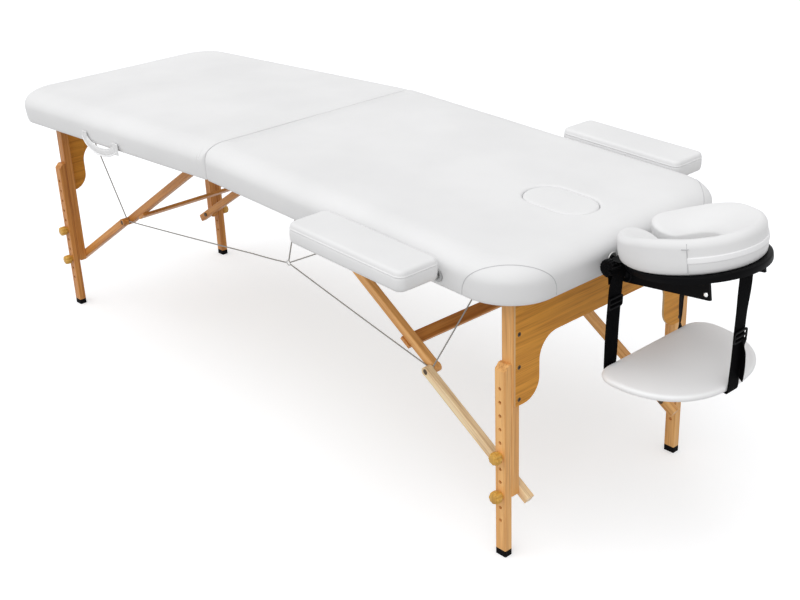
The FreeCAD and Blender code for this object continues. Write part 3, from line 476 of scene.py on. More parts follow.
def wood_finish(name, grain, place, tones, streak=STREAK, far=None):
    """Lacquered wood; far gives the tones of the bar beyond the table's middle line, so that the near bar
    of a pair can carry a painted highlight that its pair does not."""
    finish, tree, shader = new_finish(name)
    colour, fibre = wood_colour(tree, grain, place, tones, streak)
    if far:
        beyond = maths(tree, "GREATER_THAN", part_of(tree, pattern_space(tree), "Y"), 0.0)
        colour = mixed(tree, beyond, colour, wood_colour(tree, grain, place, far, streak)[0])
    plug_in(tree, shader, {"Base Color": colour, "Roughness": ranged(tree, fibre, 0.34, 0.52),
                           "Specular IOR Level": 0.3, "Coat Weight": 0.05, "Coat Roughness": 0.25,
                           "Normal": bump(tree, fibre, 0.0003, 0.35)})
    return finish


def plywood_finish(name, place, tones, plies):
    """Veneer with its grain across the table; the sawn edges show the paler plies."""
    finish, tree, shader = new_finish(name)
    colour, fibre = wood_colour(tree, ALONG_Y, place, tones, VENEER_STREAK)
    bands = wave(tree, pattern_space(tree), PLY_PITCH, "X", PLY_SWAY)
    edge = colour_ramp(tree, bands, ((0.3, plies[0]), (0.7, plies[1])))
    normal = add_node(tree, "ShaderNodeTexCoord", {}).outputs["Normal"]
    flat = maths(tree, "ABSOLUTE", part_of(tree, normal, "X"))
    veneer = maths(tree, "GREATER_THAN", flat, FACE_LIMIT)
    plug_in(tree, shader, {"Base Color": mixed(tree, veneer, edge, colour), "Roughness": 0.46,
                           "Specular IOR Level": 0.2, "Normal": bump(tree, fibre, 0.0003, 0.3)})
    return finish


def finish_node(node, finish):
    """A CAD node keeps its mesh and gets a finish."""
    NODES[node].data.materials.clear()
    NODES[node].data.materials.append(finish)


print("wood with", STREAK, "streaks a metre")

# %% [markdown]
# Each kind of wood has a dark and a light tone. The legs and braces of the two ends differ in tone, and
# the near lower brace of the head end is painted paler than its pair, as a painted highlight.

# %% Wooden nodes
HONEY = ((0.74, 0.35, 0.105), (0.97, 0.55, 0.205))
RUSSET = ((0.46, 0.165, 0.03), (0.76, 0.35, 0.095))
# Paler tones for the near lower brace of the head end: a painted highlight.
PALE_PAINTED_HIGHLIGHT = ((0.93, 0.65, 0.36), (1.0, 0.82, 0.53))
VENEER = ((0.62, 0.255, 0.03), (0.8, 0.36, 0.05))
OCHRE = ((0.62, 0.33, 0.055), (0.8, 0.47, 0.1))
BOARD = ((0.52, 0.38, 0.22), (0.66, 0.51, 0.33))
PLIES = ((0.62, 0.4, 0.19), (0.78, 0.58, 0.33))
RAIL_STREAK, DECK_STREAK, KNOB_STREAK = 30.0, 14.0, 90.0
UPPER, LOWER = (JOINTS[f"head_{level}_brace_fold"]["pos_m"] for level in ("upper", "lower"))
BRACE_PITCH = math.atan2(UPPER[2] - LOWER[2], LOWER[0] - UPPER[0])

for count, (end, tones, lower, slope) in enumerate((("head", HONEY, PALE_PAINTED_HIGHLIGHT, (0, BRACE_PITCH, 0)),
                                                    ("foot", RUSSET, RUSSET, (0, -BRACE_PITCH, 0)))):
    for node, label, *wood in (
            ("posts", "post wood", ALONG_Z, (3.1 * count, 1.7, 0.6), tones),
            ("near_lower_leg", "near leg wood", ALONG_Z, (5.3 + count, 0.4, 2.2), tones),
            ("far_lower_leg", "far leg wood", ALONG_Z, (7.2 + count, 0.4, 2.2), tones),
            ("upper_braces", "upper brace wood", slope, (1.2, 4.4, count), tones),
            ("lower_braces", "lower brace wood", slope, (2.6, 0.9, count), lower, STREAK, tones),
            ("crossbar", "crossbar wood", ALONG_Y, (0.8, count, 3.0), RUSSET),
            ("frame_rails", "rail wood", ALONG_X, (count, 2.0, 1.0), BOARD, RAIL_STREAK),
            ("deck", "deck plywood", ALONG_Y, (count, 7.0, 1.0), BOARD, DECK_STREAK)):
        finish_node(f"{end}_{node}", wood_finish(f"{end} {label}", *wood))
    finish_node(f"{end}_end_panel",
                plywood_finish(f"{end} panel plywood", (count, 1.0, 1.0), VENEER, PLIES))
KNOB_WOOD = wood_finish("turned knob wood", ALONG_Z, (0.3, 0.2, 0.1), OCHRE, KNOB_STREAK)
print("brace pitch", round(math.degrees(BRACE_PITCH), 2))

# %% [markdown]
# Metal, plastic, rubber and webbing. Plated steel and moulded plastic have a fine speckle, and webbing
# and wire rope show their weave by the strip's own length and width.

# %% Finishes for metal, plastic, rubber and webbing
def speckled_finish(name, colour, roughness, metal=0.0, grain=900.0, shine=0.5):
    """Even base with broad changes of colour and gloss, and a fine speckle in height."""
    finish, tree, shader = new_finish(name)
    speck = noise(tree, pattern_space(tree), grain, 2.0)
    cloud = noise(tree, pattern_space(tree), 14.0, 4.0)
    low, high = (tuple(c * share for c in colour) for share in (0.88, 1.12))
    plug_in(tree, shader, {"Base Color": colour_ramp(tree, cloud, ((0.3, low), (0.7, high))),
                           "Roughness": ranged(tree, cloud, roughness - 0.06, roughness + 0.1),
                           "Metallic": metal, "Specular IOR Level": shine,
                           "Normal": bump(tree, speck, 0.0001, 0.4)})
    return finish


def woven_finish(name, low, high, pitch, shine):
    """Ribs across the strip times a wider rib along it, from the strip's own UV in metres."""
    finish, tree, shader = new_finish(name)
    space = pattern_space(tree, output="UV")
    weave = maths(tree, "MULTIPLY", wave(tree, space, 1 / pitch, "X"), wave(tree, space, 0.6 / pitch, "Y"))
    plug_in(tree, shader, {"Base Color": colour_ramp(tree, weave, ((0.2, low), (0.8, high))),
                           "Roughness": 0.75, "Specular IOR Level": shine,
                           "Normal": bump(tree, weave, 0.0003, 0.7)})
    return finish


STEEL = speckled_finish("zinc plated steel", (0.58, 0.58, 0.57), 0.34, 1.0)
# Darker than plain steel: dull steel, and painted shade where the pin grommets sit between armrest and pad.
DULL_STEEL_AND_SHADE = speckled_finish("dull grommet steel and painted shade", (0.3, 0.3, 0.3), 0.45, 0.9)
DARK_STEEL = speckled_finish("browned screw steel", (0.09, 0.06, 0.035), 0.45, 0.3, shine=0.3)
BRIGHT_STEEL = speckled_finish("bright rivet steel", (0.78, 0.78, 0.78), 0.22, 1.0)
BLACK_PLASTIC = speckled_finish("black moulded plastic", (0.0025, 0.0025, 0.003), 0.4, shine=0.05)
RUBBER = speckled_finish("black rubber", (0.004, 0.004, 0.0045), 0.72, grain=500.0, shine=0.06)
# Painted shade: the dark of the screws' driver recesses.
PAINTED_SHADE_SLOT = speckled_finish("shaded bore", (0.012, 0.01, 0.008), 0.8, shine=0.1)
WEBBING = woven_finish("black webbing", (0.0012, 0.0012, 0.0015), (0.006, 0.006, 0.0065), 0.0022, 0.03)
CABLE = woven_finish("steel wire rope", (0.34, 0.33, 0.31), (0.56, 0.55, 0.53), 0.0028, 0.4)

for node in NODES:
    if node.endswith("brace_bolts"):
        finish_node(node, DARK_STEEL)
    elif node.endswith(("brackets", "bolts", "pins", "bushes")) or node.startswith("centre_hinge"):
        finish_node(node, STEEL)
    elif node.endswith("rubber_foot"):
        finish_node(node, RUBBER)
    elif node in ("face_rest_yoke", "face_rest_arms"):
        finish_node(node, BLACK_PLASTIC)
print(len(bpy.data.materials), "finishes")

# %% [markdown]
# Straps, cables and the handle follow a smooth line that a few control points pull into shape. The
# line is a curve that is read back as points, so that a section can be carried along it.

# %% Smooth lines
LINE_STEPS = 16


def smooth_line(points):
    """Points along a NURBS line of order 3 that has the given points as its control points."""
    curve = bpy.data.curves.new("line", "CURVE")
    curve.dimensions = "3D"
    curve.resolution_u = LINE_STEPS
    spline = curve.splines.new("NURBS")
    spline.points.add(len(points) - 1)
    spline.points.foreach_set("co", lifted(points, 1.0).ravel())
    spline.order_u = 3
    spline.use_endpoint_u = True
    holder = add_object("line", curve)
    bpy.context.view_layer.update()
    mesh = bpy.data.meshes.new_from_object(holder)
    line = np.zeros(len(mesh.vertices) * 3)
    mesh.vertices.foreach_get("co", line)
    bpy.data.objects.remove(holder)
    bpy.data.meshes.remove(mesh)
    return line.reshape(-1, 3)


print(LINE_STEPS, "steps between the points of a line")

# %% [markdown]
# Thin steel cables tie the knuckles of the folding braces to both halves. On each side they meet at a
# small ring, which two short bridles hold to the head half. They are taut, so each run has only its
# ends and one middle point that hangs a little. As the table closes they go slack and lie against the
# deck, but nothing here flattens them. The long run from the foot end crosses the centre hinge, so it
# is two lengths that meet under the hinge.

# %% Cable runs
CABLE_RADIUS, CABLE_SAG, CABLE_LEVEL = 0.0016, 0.002, 0.0438
RING_PLACE, RING_RADIUS, RING_WIRE = (0.151, 0.2359, 0.429), 0.006, 0.0016
KNUCKLE = {"head": (0.6446, 0.2359, 0.3221), "foot": (-0.6446, 0.2134, 0.3221)}
EYE_REACH = 0.0085
CABLE_ENDS = {"end": 0.838, "bridle_near": 0.225, "bridle_far": 0.59}
SLACK_REACH, SLACK_LEVEL, SLACK_SHARE = 0.5, 0.0449, 0.004


def slacken(piece, end):
    """Give the piece its own mesh; the point on the half's deck that it would lie against is worked out but
    not used.
    """
    anchor = on_half((SLACK_REACH, 0, SLACK_LEVEL), end)
    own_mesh(piece)


def cable(name, start, stop, end):
    """One taut run from start to stop that belongs to a half."""
    middle = (start + stop) / 2 - (0, 0, CABLE_SAG)
    line = smooth_line(np.array([start, middle, stop]))
    piece = swept(name, line, ACROSS, round_section(CABLE_RADIUS, 10))
    dress(piece, CABLE, f"{end}_half")
    round(float(run_length(line)[-1]), 4)
    slacken(piece, end)
    return piece


def towards(start, stop, distance):
    """Point at a distance from start on the way to stop."""
    return start + unit(stop - start) * distance


def cables(hand, side):
    """All runs of one side of the table."""
    mirror = np.array((1, side, 1))
    ring, rim = RING_PLACE * mirror, RING_RADIUS + RING_WIRE
    made = []
    for end in ENDS:
        knuckle = KNUCKLE[end] * mirror
        deck_end = on_half((CABLE_ENDS["end"], knuckle[1], CABLE_LEVEL), end)
        made.append(cable(f"{hand}_{end}_end_cable", towards(knuckle, deck_end, EYE_REACH), deck_end, end))
        start, stop = towards(knuckle, ring, EYE_REACH), towards(ring, knuckle, rim)
        if end == "head":
            made.append(cable(f"{hand}_head_ring_cable", start, stop, end))
        else:
            crossing = start + (stop - start) * (-start[0] / (stop[0] - start[0]))
            made.append(cable(f"{hand}_foot_ring_cable", start, crossing, "foot"))
            made.append(cable(f"{hand}_ring_cable_past_hinge", stop, crossing, "head"))
    for label in ("bridle_near", "bridle_far"):
        deck_end = on_half((CABLE_ENDS[label], ring[1], CABLE_LEVEL))
        made.append(cable(f"{hand}_{label}", towards(ring, deck_end, rim), deck_end, "head"))
    return made


def wire_ring(name, centre, side, radius, wire):
    """Ring of round wire in the plane across the table's width, on one side of the table."""
    path = np.array(centre) * (1, side, 1) + radius * np.insert(circle(40), 1, 0, axis=1)
    return swept(name, path, ACROSS, round_section(wire, 12), closed=True)


for hand, side in HANDS:
    runs = cables(hand, side)
    ring = wire_ring(f"{hand}_cable_ring", RING_PLACE, side, RING_RADIUS, RING_WIRE)
    dress(ring, STEEL, "head_half", ("head_cables", "foot_cables"))
    slacken(ring, "head")
    for end in ENDS:
        eye = wire_ring(f"{hand}_{end}_cable_eye", KNUCKLE[end], side, EYE_REACH - CABLE_RADIUS,
                        CABLE_RADIUS)
        dress(eye, STEEL, f"{end}_lower_brace")
print(len(runs), "runs on each side")

# %% [markdown]
# The two big pads are foam on a plywood deck, with the cover pulled round the wooden rails and tacked
# underneath. Each is a closed skin: a rounded outline that is drawn in by an inset as it climbs from
# the hem, bulges a little on the side, rolls over the edge and runs up to a slight crown. The inner
# rows lie against the rails and the deck, so the skin has a real thickness there. These helpers make
# outlines, rows and closed skins, for the pads and for every other cushion.

# %% Rounded outlines and padded skins
ARC_STEPS, RUN_STEPS, LEAST_RADIUS = 14, 44, 0.002


def rounded_outline(x0, x1, half, r0, r1, inset=0.0, share=1.0):
    """Rectangle drawn in by inset, less by a share at x0: arcs of radius r0 and r1, and straight runs."""
    arcs = []
    for x, y, radius, start in ((x0, -half, r0, 180), (x1, -half, r1, 270),
                                (x1, half, r1, 0), (x0, half, r0, 90)):
        small = max(radius - inset, LEAST_RADIUS)
        inwards = np.array((1 if x == x0 else -1, -1 if y > 0 else 1))
        turn = np.radians(start + np.linspace(0, 90, ARC_STEPS))
        drawn = np.array((inset * share if x == x0 else inset, inset))
        arcs.append(np.array((x, y)) + inwards * (drawn + small) + small * rays(turn))
    share = np.linspace(0, 1, RUN_STEPS + 2)[1:-1, None]
    runs = [a[-1] + share * (b[0] - a[-1]) for a, b in zip(arcs, arcs[1:] + arcs[:1])]
    return np.concatenate([part for pair in zip(arcs, runs) for part in pair])


def quarter_roll(width, top, steps=9, height=None):
    """(inset, height) rows of a quarter ellipse that ends level at the top; a quarter round by default."""
    turn = np.linspace(0, np.pi / 2, steps)
    return places(width * (1 - np.cos(turn)), top - (height or width) * (1 - np.sin(turn)))


def stacked(outline, rows):
    """Grid of points: the outline at each row's inset, at each row's height."""
    insets, heights = rows.T
    return lifted(np.stack([outline(inset) for inset in insets], 1), heights)


def closing(edge, target, rise, steps=14):
    """Rows from an edge row to target points, easing up by rise as a crown does."""
    share = np.linspace(0, 1, steps + 1)[1:]
    flat = edge[:, None, :2] + share[None, :, None] * (target[:, None, :2] - edge[:, None, :2])
    return lifted(flat, edge[:, None, 2] + rise * np.sin(share * np.pi / 2)[None, :])


def capped(body, heart, base, rise, steps=14):
    """Rows closed at both ends on one point or on points of a heart: level at the base, crowned on top."""
    heart = np.broadcast_to(np.array(heart, float), (len(body), 2))
    top = closing(body[:, -1], heart, rise, steps)
    return np.concatenate([lifted(heart, base)[:, None], body, top], 1)


def soft_waves(points, size, seed):
    """Slow hills: a few sine waves in different directions, from a seeded generator."""
    maker = np.random.default_rng(seed)
    turn = maker.uniform(0, np.pi, 5)
    pitch = maker.uniform(9, 34, 5)
    phase = maker.uniform(0, 6.28, 5)
    across = points[..., 0, None] * np.cos(turn) + points[..., 1, None] * np.sin(turn)
    return size * np.sin(across * pitch + phase).mean(-1)


def cushion(name, grid, body, node, finish=COVER, across=False):
    """Padded piece in its cover that stands for one soft CAD node."""
    piece = dress(grid_piece(name, grid, across=across), finish, body, (node,))
    return piece


print(4 * (ARC_STEPS + RUN_STEPS), "points round an outline")

# %% [markdown]
# The section of a pad is a list of (inset, height) rows from the hem up to the roll. The foam never
# lies dead flat, so slow waves of under a millimetre run over the top. At the centre hinge the two ends
# meet in a fine line, and the foot pad's top falls off a little towards it.

# %% Section and hinge end of the pads
HALF_LENGTH, HALF_WIDTH, CENTRE_GAP = 0.986, 0.35, 0.0015
END_CORNER, HINGE_CORNER = 0.115, 0.014
DECK_TOP, PAD_TOP, CROWN = 0.0495, 0.0855, 0.0025
ROLL_WIDTH, ROLL_HEIGHT, HINGE_SHARE = 0.062, 0.04, 0.05
HINGE_FADE, FALL_START, FALL_FADE, FALL_DROP = 0.08, 0.05, 0.06, 0.0018
WAVE, WAVE_START, WAVE_SEED = 0.0007, 0.06, {"head": 8, "foot": 3}
COVER_WALL, ON_DECK = 0.0056, DECK_TOP + 0.0002
HEM_ROWS = np.array([(0.026, 0.0033), (0.0262, 0.0028), (0.0255, 0.0024), (0.012, 0.0023),
                     (0.0072, 0.0026), (0.0048, 0.0042), (0.0036, 0.0075), (0.0024, 0.014),
                     (0.0012, 0.024), (0.0004, 0.034), (0.0001, 0.04)])
INNER_ROWS = np.array([(0.0262, 0.0034), (0.0057, 0.0034), (COVER_WALL, 0.012),
                       (COVER_WALL, DECK_TOP + 0.0001), (0.012, ON_DECK)])
SECTION = np.concatenate([HEM_ROWS, quarter_roll(ROLL_WIDTH, PAD_TOP, 16, ROLL_HEIGHT)])


def pad_outline(inset):
    """Outline of a pad, drawn in by an inset of which the hinge end takes only a small share."""
    return rounded_outline(CENTRE_GAP, HALF_LENGTH, HALF_WIDTH, HINGE_CORNER, END_CORNER, inset,
                           HINGE_SHARE)


def waved(grid, lowest, size, seed):
    """Add slow waves to what lies above a height."""
    grid = grid.copy()
    share = np.clip((grid[..., 2] - lowest) / (PAD_TOP - lowest), 0, 1)
    grid[..., 2] += soft_waves(grid, size, seed) * share
    return grid


def plumb_end(grid):
    """Push the hinge end out by lean times height, fading along the pad, so that both ends meet upright."""
    grid = grid.copy()
    fade = np.clip(1 - grid[..., 0] / HINGE_FADE, 0, 1)
    grid[..., 0] -= LEAN_SIN / LEAN_COS * grid[..., 2] * fade
    return grid


def falling_end(grid):
    """Let the top fall off towards the hinge: a parabola along the pad, fading out down the side."""
    grid = grid.copy()
    near = np.clip(1 - grid[..., 0] / FALL_FADE, 0, 1) ** 2
    high = np.clip((grid[..., 2] - FALL_START) / (PAD_TOP - FALL_START), 0, 1)
    grid[..., 2] -= FALL_DROP * near * high
    return grid


print(len(SECTION), "rows in a pad's section")

# %% [markdown]
# The foot pad closes in the middle of its top. The head pad has an oval breathing hole near its end,
# so there the rows of the top run from the roll to the hole's rim, over a small roll and down the
# hole's lined wall to the deck.

# %% The two pads
HOLE_REACH, HOLE_LENGTH, HOLE_WIDTH, RIM_ROLL = 0.797, 0.178, 0.112, 0.012
PAD_FILL, TINY = 0.85, 1e-9
RIM_ROWS = [(0.007, 0), (0.004, -0.0004), (0.0018, -0.0015), (0.0004, -0.0034), (0, -0.006)]


def oval_rim(toward, grow=0.0):
    """Rim point met on the way to each given point: straight sides with half-round ends, grown by grow."""
    flat = toward[:, :2] - (HOLE_REACH, 0)
    turn = np.arctan2(flat[:, 1], flat[:, 0])
    run, half = (HOLE_LENGTH - HOLE_WIDTH) / 2, HOLE_WIDTH / 2 + grow
    ahead, aside = np.abs(np.cos(turn)), np.abs(np.sin(turn))
    to_end = run * ahead + np.sqrt(half ** 2 - (run * aside) ** 2)
    to_side = half / np.maximum(aside, TINY)
    radius = np.where(to_side * ahead <= run, to_side, to_end)
    return places(HOLE_REACH + radius * np.cos(turn), radius * np.sin(turn))


def head_pad_top(edge):
    """Rows from the roll's edge to the hole: the crowned top, the rim's small roll and the wall."""
    rows = [(grow, PAD_TOP + CROWN + drop) for grow, drop in RIM_ROWS] + [(0, 0.066), (0, ON_DECK)]
    wall = [lifted(oval_rim(edge, grow), height) for grow, height in rows]
    return np.concatenate([closing(edge, oval_rim(edge, RIM_ROLL), CROWN), np.stack(wall, 1)], 1)


skin = stacked(pad_outline, np.concatenate([INNER_ROWS[::-1], SECTION]))
foot_pad = waved(capped(skin, (HALF_LENGTH / 2, 0), ON_DECK, CROWN), WAVE_START, WAVE, WAVE_SEED["foot"])
cushion("foot_pad_cover", on_half(plumb_end(falling_end(foot_pad)), "foot"), "foot_half", "foot_pad")
head_pad = waved(np.concatenate([skin, head_pad_top(skin[:, -1])], 1), WAVE_START, WAVE, WAVE_SEED["head"])
cushion("head_pad_cover", on_half(plumb_end(head_pad)), "head_half", "head_pad", across=True)
print(head_pad.shape[:2], "points in the head pad")

# %% [markdown]
# A round patch of cover is sewn over each corner of the head end, where the cover wears first. Its
# edge is a seam that climbs the side, crosses the top near the corner and comes down again. The seam
# is a fine roll that follows the pad's own section: an ellipse of height over the way round the corner.

# %% Corner patches
PATCH_REACH, PATCH_CLIMB, PATCH_SHARE, PATCH_SIDE = 0.106, 0.087, 0.999, (0.31, -0.2, 0.93)
SEAM_RADIUS, HEM_EDGE, TOP_RUN = 0.0009, 5, 0.08


def section_at(climb):
    """(inset, height) on the outside of a pad at a distance along its section from the hem."""
    rows = np.concatenate([SECTION[HEM_EDGE:], SECTION[-1:] + (TOP_RUN, 0)])
    along = run_length(rows)
    return np.interp(climb, along, rows[:, 0]), np.interp(climb, along, rows[:, 1])


def corner_seam(side, steps=72):
    """Seam round one head corner: half an ellipse over the way round, its height run up the section."""
    share = np.linspace(-PATCH_SHARE, PATCH_SHARE, steps)
    inset, height = section_at(PATCH_CLIMB * np.sqrt(1 - share ** 2))
    way = share * PATCH_REACH
    bend = END_CORNER * np.pi / 4
    turn = np.clip(way, -bend, bend) / END_CORNER + np.pi / 4
    normal = rays(turn)
    along = places(-normal[:, 1], normal[:, 0])
    spare = way - np.clip(way, -bend, bend)
    flat = (np.array((HALF_LENGTH, HALF_WIDTH)) - END_CORNER + (END_CORNER - inset)[:, None] * normal
            + spare[:, None] * along)
    return places(flat[:, 0], side * flat[:, 1], height)


for hand, side in HANDS:
    line = corner_seam(side)
    path = on_half(line)
    path[:, 2] += soft_waves(line, WAVE, WAVE_SEED["head"])
    seam = swept(f"{hand}_corner_patch_seam", path, PATCH_SIDE, round_section(SEAM_RADIUS, 8))
    # The seam's grey is painted shade.
    dress(seam, SEAM_SHADE, "head_half")
print("two corner patches")

# %% [markdown]
# At the hinge corners of the foot half the spare cover is gathered in two small upright pleats. Each
# is a roll that climbs the section, half sunk in the cover and standing out most in its middle.

# %% Pleats at the hinge
PLEAT_PLACES, PLEAT_LOW, PLEAT_HIGH, PLEAT_STEP = (0.019, 0.027), 0.034, 0.083, 0.012
PLEAT_RADIUS, PLEAT_RISE, SINK_ASIDE, SINK_DOWN, PLEAT_STEPS = 0.0016, 0.8, 0.8, 0.6, 30
for hand, side in HANDS:
    for count, along in enumerate(PLEAT_PLACES):
        inset, height = section_at(np.linspace(PLEAT_LOW, PLEAT_HIGH - PLEAT_STEP * count, PLEAT_STEPS))
        sink = PLEAT_RADIUS * (1 - PLEAT_RISE * np.sin(np.linspace(0, np.pi, PLEAT_STEPS)))
        line = places(along, side * (HALF_WIDTH - inset) - side * sink * SINK_ASIDE,
                      height - sink * SINK_DOWN)
        path = on_half(plumb_end(falling_end(line)), "foot")
        pleat = swept(f"{hand}_hinge_pleat_{count + 1}", path, ALONG, round_section(PLEAT_RADIUS, 10))
        dress(pleat, COVER, "foot_half")
print(len(PLEAT_PLACES), "pleats on each side")

# %% [markdown]
# The breathing hole is filled by an oval plug in the same cover. It stands just proud of the top, and
# the crevice round it is the dark oval line that the photograph shows.

# %% Face hole plug
PLUG_CLEARANCE, PLUG_ROLL, PLUG_TOP, PLUG_CROWN = 0.0009, 0.007, 0.0885, 0.0015
PLUG_BASE, PLUG_FILL = DECK_TOP + 0.0003, 0.8
PLUG_ROWS = np.concatenate([[(0.004, PLUG_BASE), (0.001, 0.0512), (0, 0.054)],
                            quarter_roll(PLUG_ROLL, PLUG_TOP - PLUG_CROWN)])


def plug_outline(inset):
    """Outline of the hole, drawn in by the clearance and an inset."""
    return oval_rim(circle(180) + (HOLE_REACH, 0), -PLUG_CLEARANCE - inset)


plug_grid = capped(stacked(plug_outline, PLUG_ROWS), (HOLE_REACH, 0), PLUG_BASE, PLUG_CROWN, 10)
cushion("face_plug_cushion", on_half(plug_grid), "face_plug", "face_plug")
print("plug top", PLUG_TOP)

# %% [markdown]
# The armrests are thick padded boards on two steel pins. Their cover is sewn in two parts: a seam with
# a welt runs round just under the top edge, drawn in like a groove between two rolls.

# %% Armrests
ARM_START, ARM_STOP, ARM_INNER, ARM_OUTER = 0.478, 0.821, 0.367, 0.475
ARM_BASE, ARM_TOP, ARM_ROUND, ARM_CROWN = 0.033, 0.0795, 0.019, 0.0015
ARM_ROLL, ARM_WELT, ARM_WAVE, ARM_WAVE_START, ARM_SEED = 0.0085, 0.0014, 0.0008, 0.055, 5
ARM_ROWS = np.array([(0.034, 0), (0.014, 0.0012), (0.005, 0.0032), (0.0016, 0.006), (0.0003, 0.011),
                     (-0.0004, 0.019), (-0.0001, 0.028), (0.0004, 0.0315), (0.0015, 0.0326),
                     (0.0004, 0.0336), (-0.0003, 0.0348), (0.0004, 0.036), (0.0014, 0.0368),
                     (0.0013, 0.0378)]) + (0, ARM_BASE)


def armrest_grid(side):
    """Rounded board: base, bulging side with the welt's groove, roll, and crowned top."""
    half = (ARM_OUTER - ARM_INNER) / 2
    middle = side * (ARM_INNER + half)

    def outline(inset):
        """The board's outline, drawn in by an inset."""
        return rounded_outline(ARM_START, ARM_STOP, half, ARM_ROUND, ARM_ROUND, inset) + (0, middle)

    roll = quarter_roll(ARM_ROLL, ARM_TOP, 7) + (ARM_WELT, 0)
    body = stacked(outline, np.concatenate([ARM_ROWS, roll]))
    grid = capped(body, ((ARM_START + ARM_STOP) / 2, middle), ARM_BASE, ARM_CROWN, 10)
    return waved(grid, ARM_WAVE_START, ARM_WAVE, ARM_SEED + side)


for hand, side in HANDS:
    cushion(f"{hand}_armrest_cushion", on_half(armrest_grid(side)), f"{hand}_armrest",
            f"{hand}_armrest_pad")
print("armrests", round(ARM_STOP - ARM_START, 3), "m long")

# %% [markdown]
# Where a pin or rod enters the side of the pad, a pressed metal grommet lines the hole. It is turned
# from a flat profile: a rounded flange with a sunk middle.

# %% Grommets
PIN_REACH, PIN_LEVEL, PIN_PROUD, PIN_SCALE = (0.562, 0.792), 0.027, 0.0006, 1.2
ROD_ACROSS, ROD_LEVEL, ROD_PROUD, ROD_SCALE = (-0.06, 0.06), 0.0345, 0.0004, (1.25, 1)
GROMMET = np.array([(0.0, 0.0005), (0.0064, 0.0005), (0.0066, 0.0016), (0.0078, 0.0021), (0.0104, 0.0017),
                    (0.0112, 0.0006), (0.0112, -0.001), (0.0, -0.001)])
for hand, side in HANDS:
    for count, reach in enumerate(PIN_REACH):
        centre = on_half((reach, side * (HALF_WIDTH + PIN_PROUD), PIN_LEVEL))
        grommet = lathe(f"{hand}_grommet_{count + 1}", GROMMET * PIN_SCALE, centre, (0, side, 0), ALONG)
        # The pin grommets' dark grey is dull steel and painted shade.
        dress(grommet, DULL_STEEL_AND_SHADE, "head_half")
for count, across in enumerate(ROD_ACROSS):
    centre = on_half((HALF_LENGTH + ROD_PROUD, across, ROD_LEVEL))
    outwards = (LEAN_COS, 0, -LEAN_SIN)
    grommet = lathe(f"rod_grommet_{count + 1}", GROMMET * ROD_SCALE, centre, outwards, ACROSS)
    dress(grommet, STEEL, "head_half")
print(2 * len(PIN_REACH) + len(ROD_ACROSS), "grommets")

# %% [markdown]
# The face cushion is a horseshoe: a fat roll of foam, open towards the table, flat underneath where it
# sits on its platform. Its outline is an arc with half-round ends, and each row of the skin is that
# outline drawn in. The top rows close on the arc's middle line, and the whole top is dished: it falls
# from the outer edge towards the inside, where the face lies. The two open ends fall off as well.

# %% Face cushion
FACE_REACH, FACE_RING, FACE_HALF, FACE_OPENING = 1.136, 0.099, 0.041, 32.0
FACE_BASE, FACE_TOP, FACE_ROLL, FACE_CROWN, FACE_FILL = 0.0597, 0.1295, 0.017, 0.003, 0.8
FACE_DISH, DISH_START, DISH_POWER = 0.56, 0.14, 1.2
FACE_TAPER, TAPER_START = 0.24, 80.0
FACE_WAVE, FACE_WAVE_START, FACE_WAVE_FADE, FACE_SEED, FACE_BUSY = 0.0012, 0.09, 0.03, 21, 3
FACE_ARC, FACE_TIP = 96, 22
FACE_ROWS = np.array([(0.012, 0), (0.005, 0.0006), (0.0018, 0.004), (0.0002, 0.011), (-0.0008, 0.021),
                      (-0.0004, 0.03)]) + (0, FACE_BASE)


def horseshoe(half):
    """Outline of an arc-shaped pad of half width half: outer arc, round tip, inner arc, round tip."""
    start = np.radians(-180 + FACE_OPENING)
    ray = rays(np.linspace(start, -start, FACE_ARC))
    sweep = np.linspace(0, np.pi, FACE_TIP + 2)[1:-1, None]
    first, last = ray[-1], ray[0]
    past, before = np.array((-first[1], first[0])), np.array((last[1], -last[0]))
    return np.concatenate([
        (FACE_RING + half) * ray,
        FACE_RING * first + half * (np.cos(sweep) * first + np.sin(sweep) * past),
        (FACE_RING - half) * ray[::-1],
        FACE_RING * last + half * (np.cos(sweep[::-1]) * last + np.sin(sweep[::-1]) * before)])


def face_grid():
    """Rows of the horseshoe from base to crown; its height falls off inwards like a dish, by a smooth
    step towards the open ends, and waves a little on top."""
    roll = quarter_roll(FACE_ROLL, FACE_TOP - FACE_CROWN, 11)
    body = stacked(lambda inset: horseshoe(FACE_HALF - inset), np.concatenate([FACE_ROWS, roll]))
    grid = capped(body, horseshoe(0.0), FACE_BASE, FACE_CROWN, 6)
    inwards = (FACE_RING + FACE_HALF - np.hypot(grid[..., 0], grid[..., 1])) / (2 * FACE_HALF)
    dish = FACE_DISH * np.clip((inwards - DISH_START) / (1 - DISH_START), 0, 1) ** DISH_POWER
    angle = np.degrees(np.abs(np.arctan2(grid[..., 1], grid[..., 0])))
    tip = np.clip((angle - TAPER_START) / (180 - FACE_OPENING - TAPER_START), 0, 1)
    taper = FACE_TAPER * tip ** 2 * (3 - 2 * tip)
    grid[..., 2] = FACE_BASE + (grid[..., 2] - FACE_BASE) * (1 - dish) * (1 - taper)
    high = np.clip((grid[..., 2] - FACE_WAVE_START) / FACE_WAVE_FADE, 0, 1)
    grid[..., 2] += soft_waves(grid * FACE_BUSY, FACE_WAVE, FACE_SEED) * high
    grid[..., 0] += FACE_REACH
    return grid


face = cushion("face_rest_cushion", on_rest(face_grid()), "face_rest_head", "face_cushion")
print(len(face.data.polygons), "faces in the face cushion")

# %% [markdown]
# A narrow bright band is sewn round the outside of the face cushion. It ends at an upright seam on the
# near side, with a short stitched bar across it.

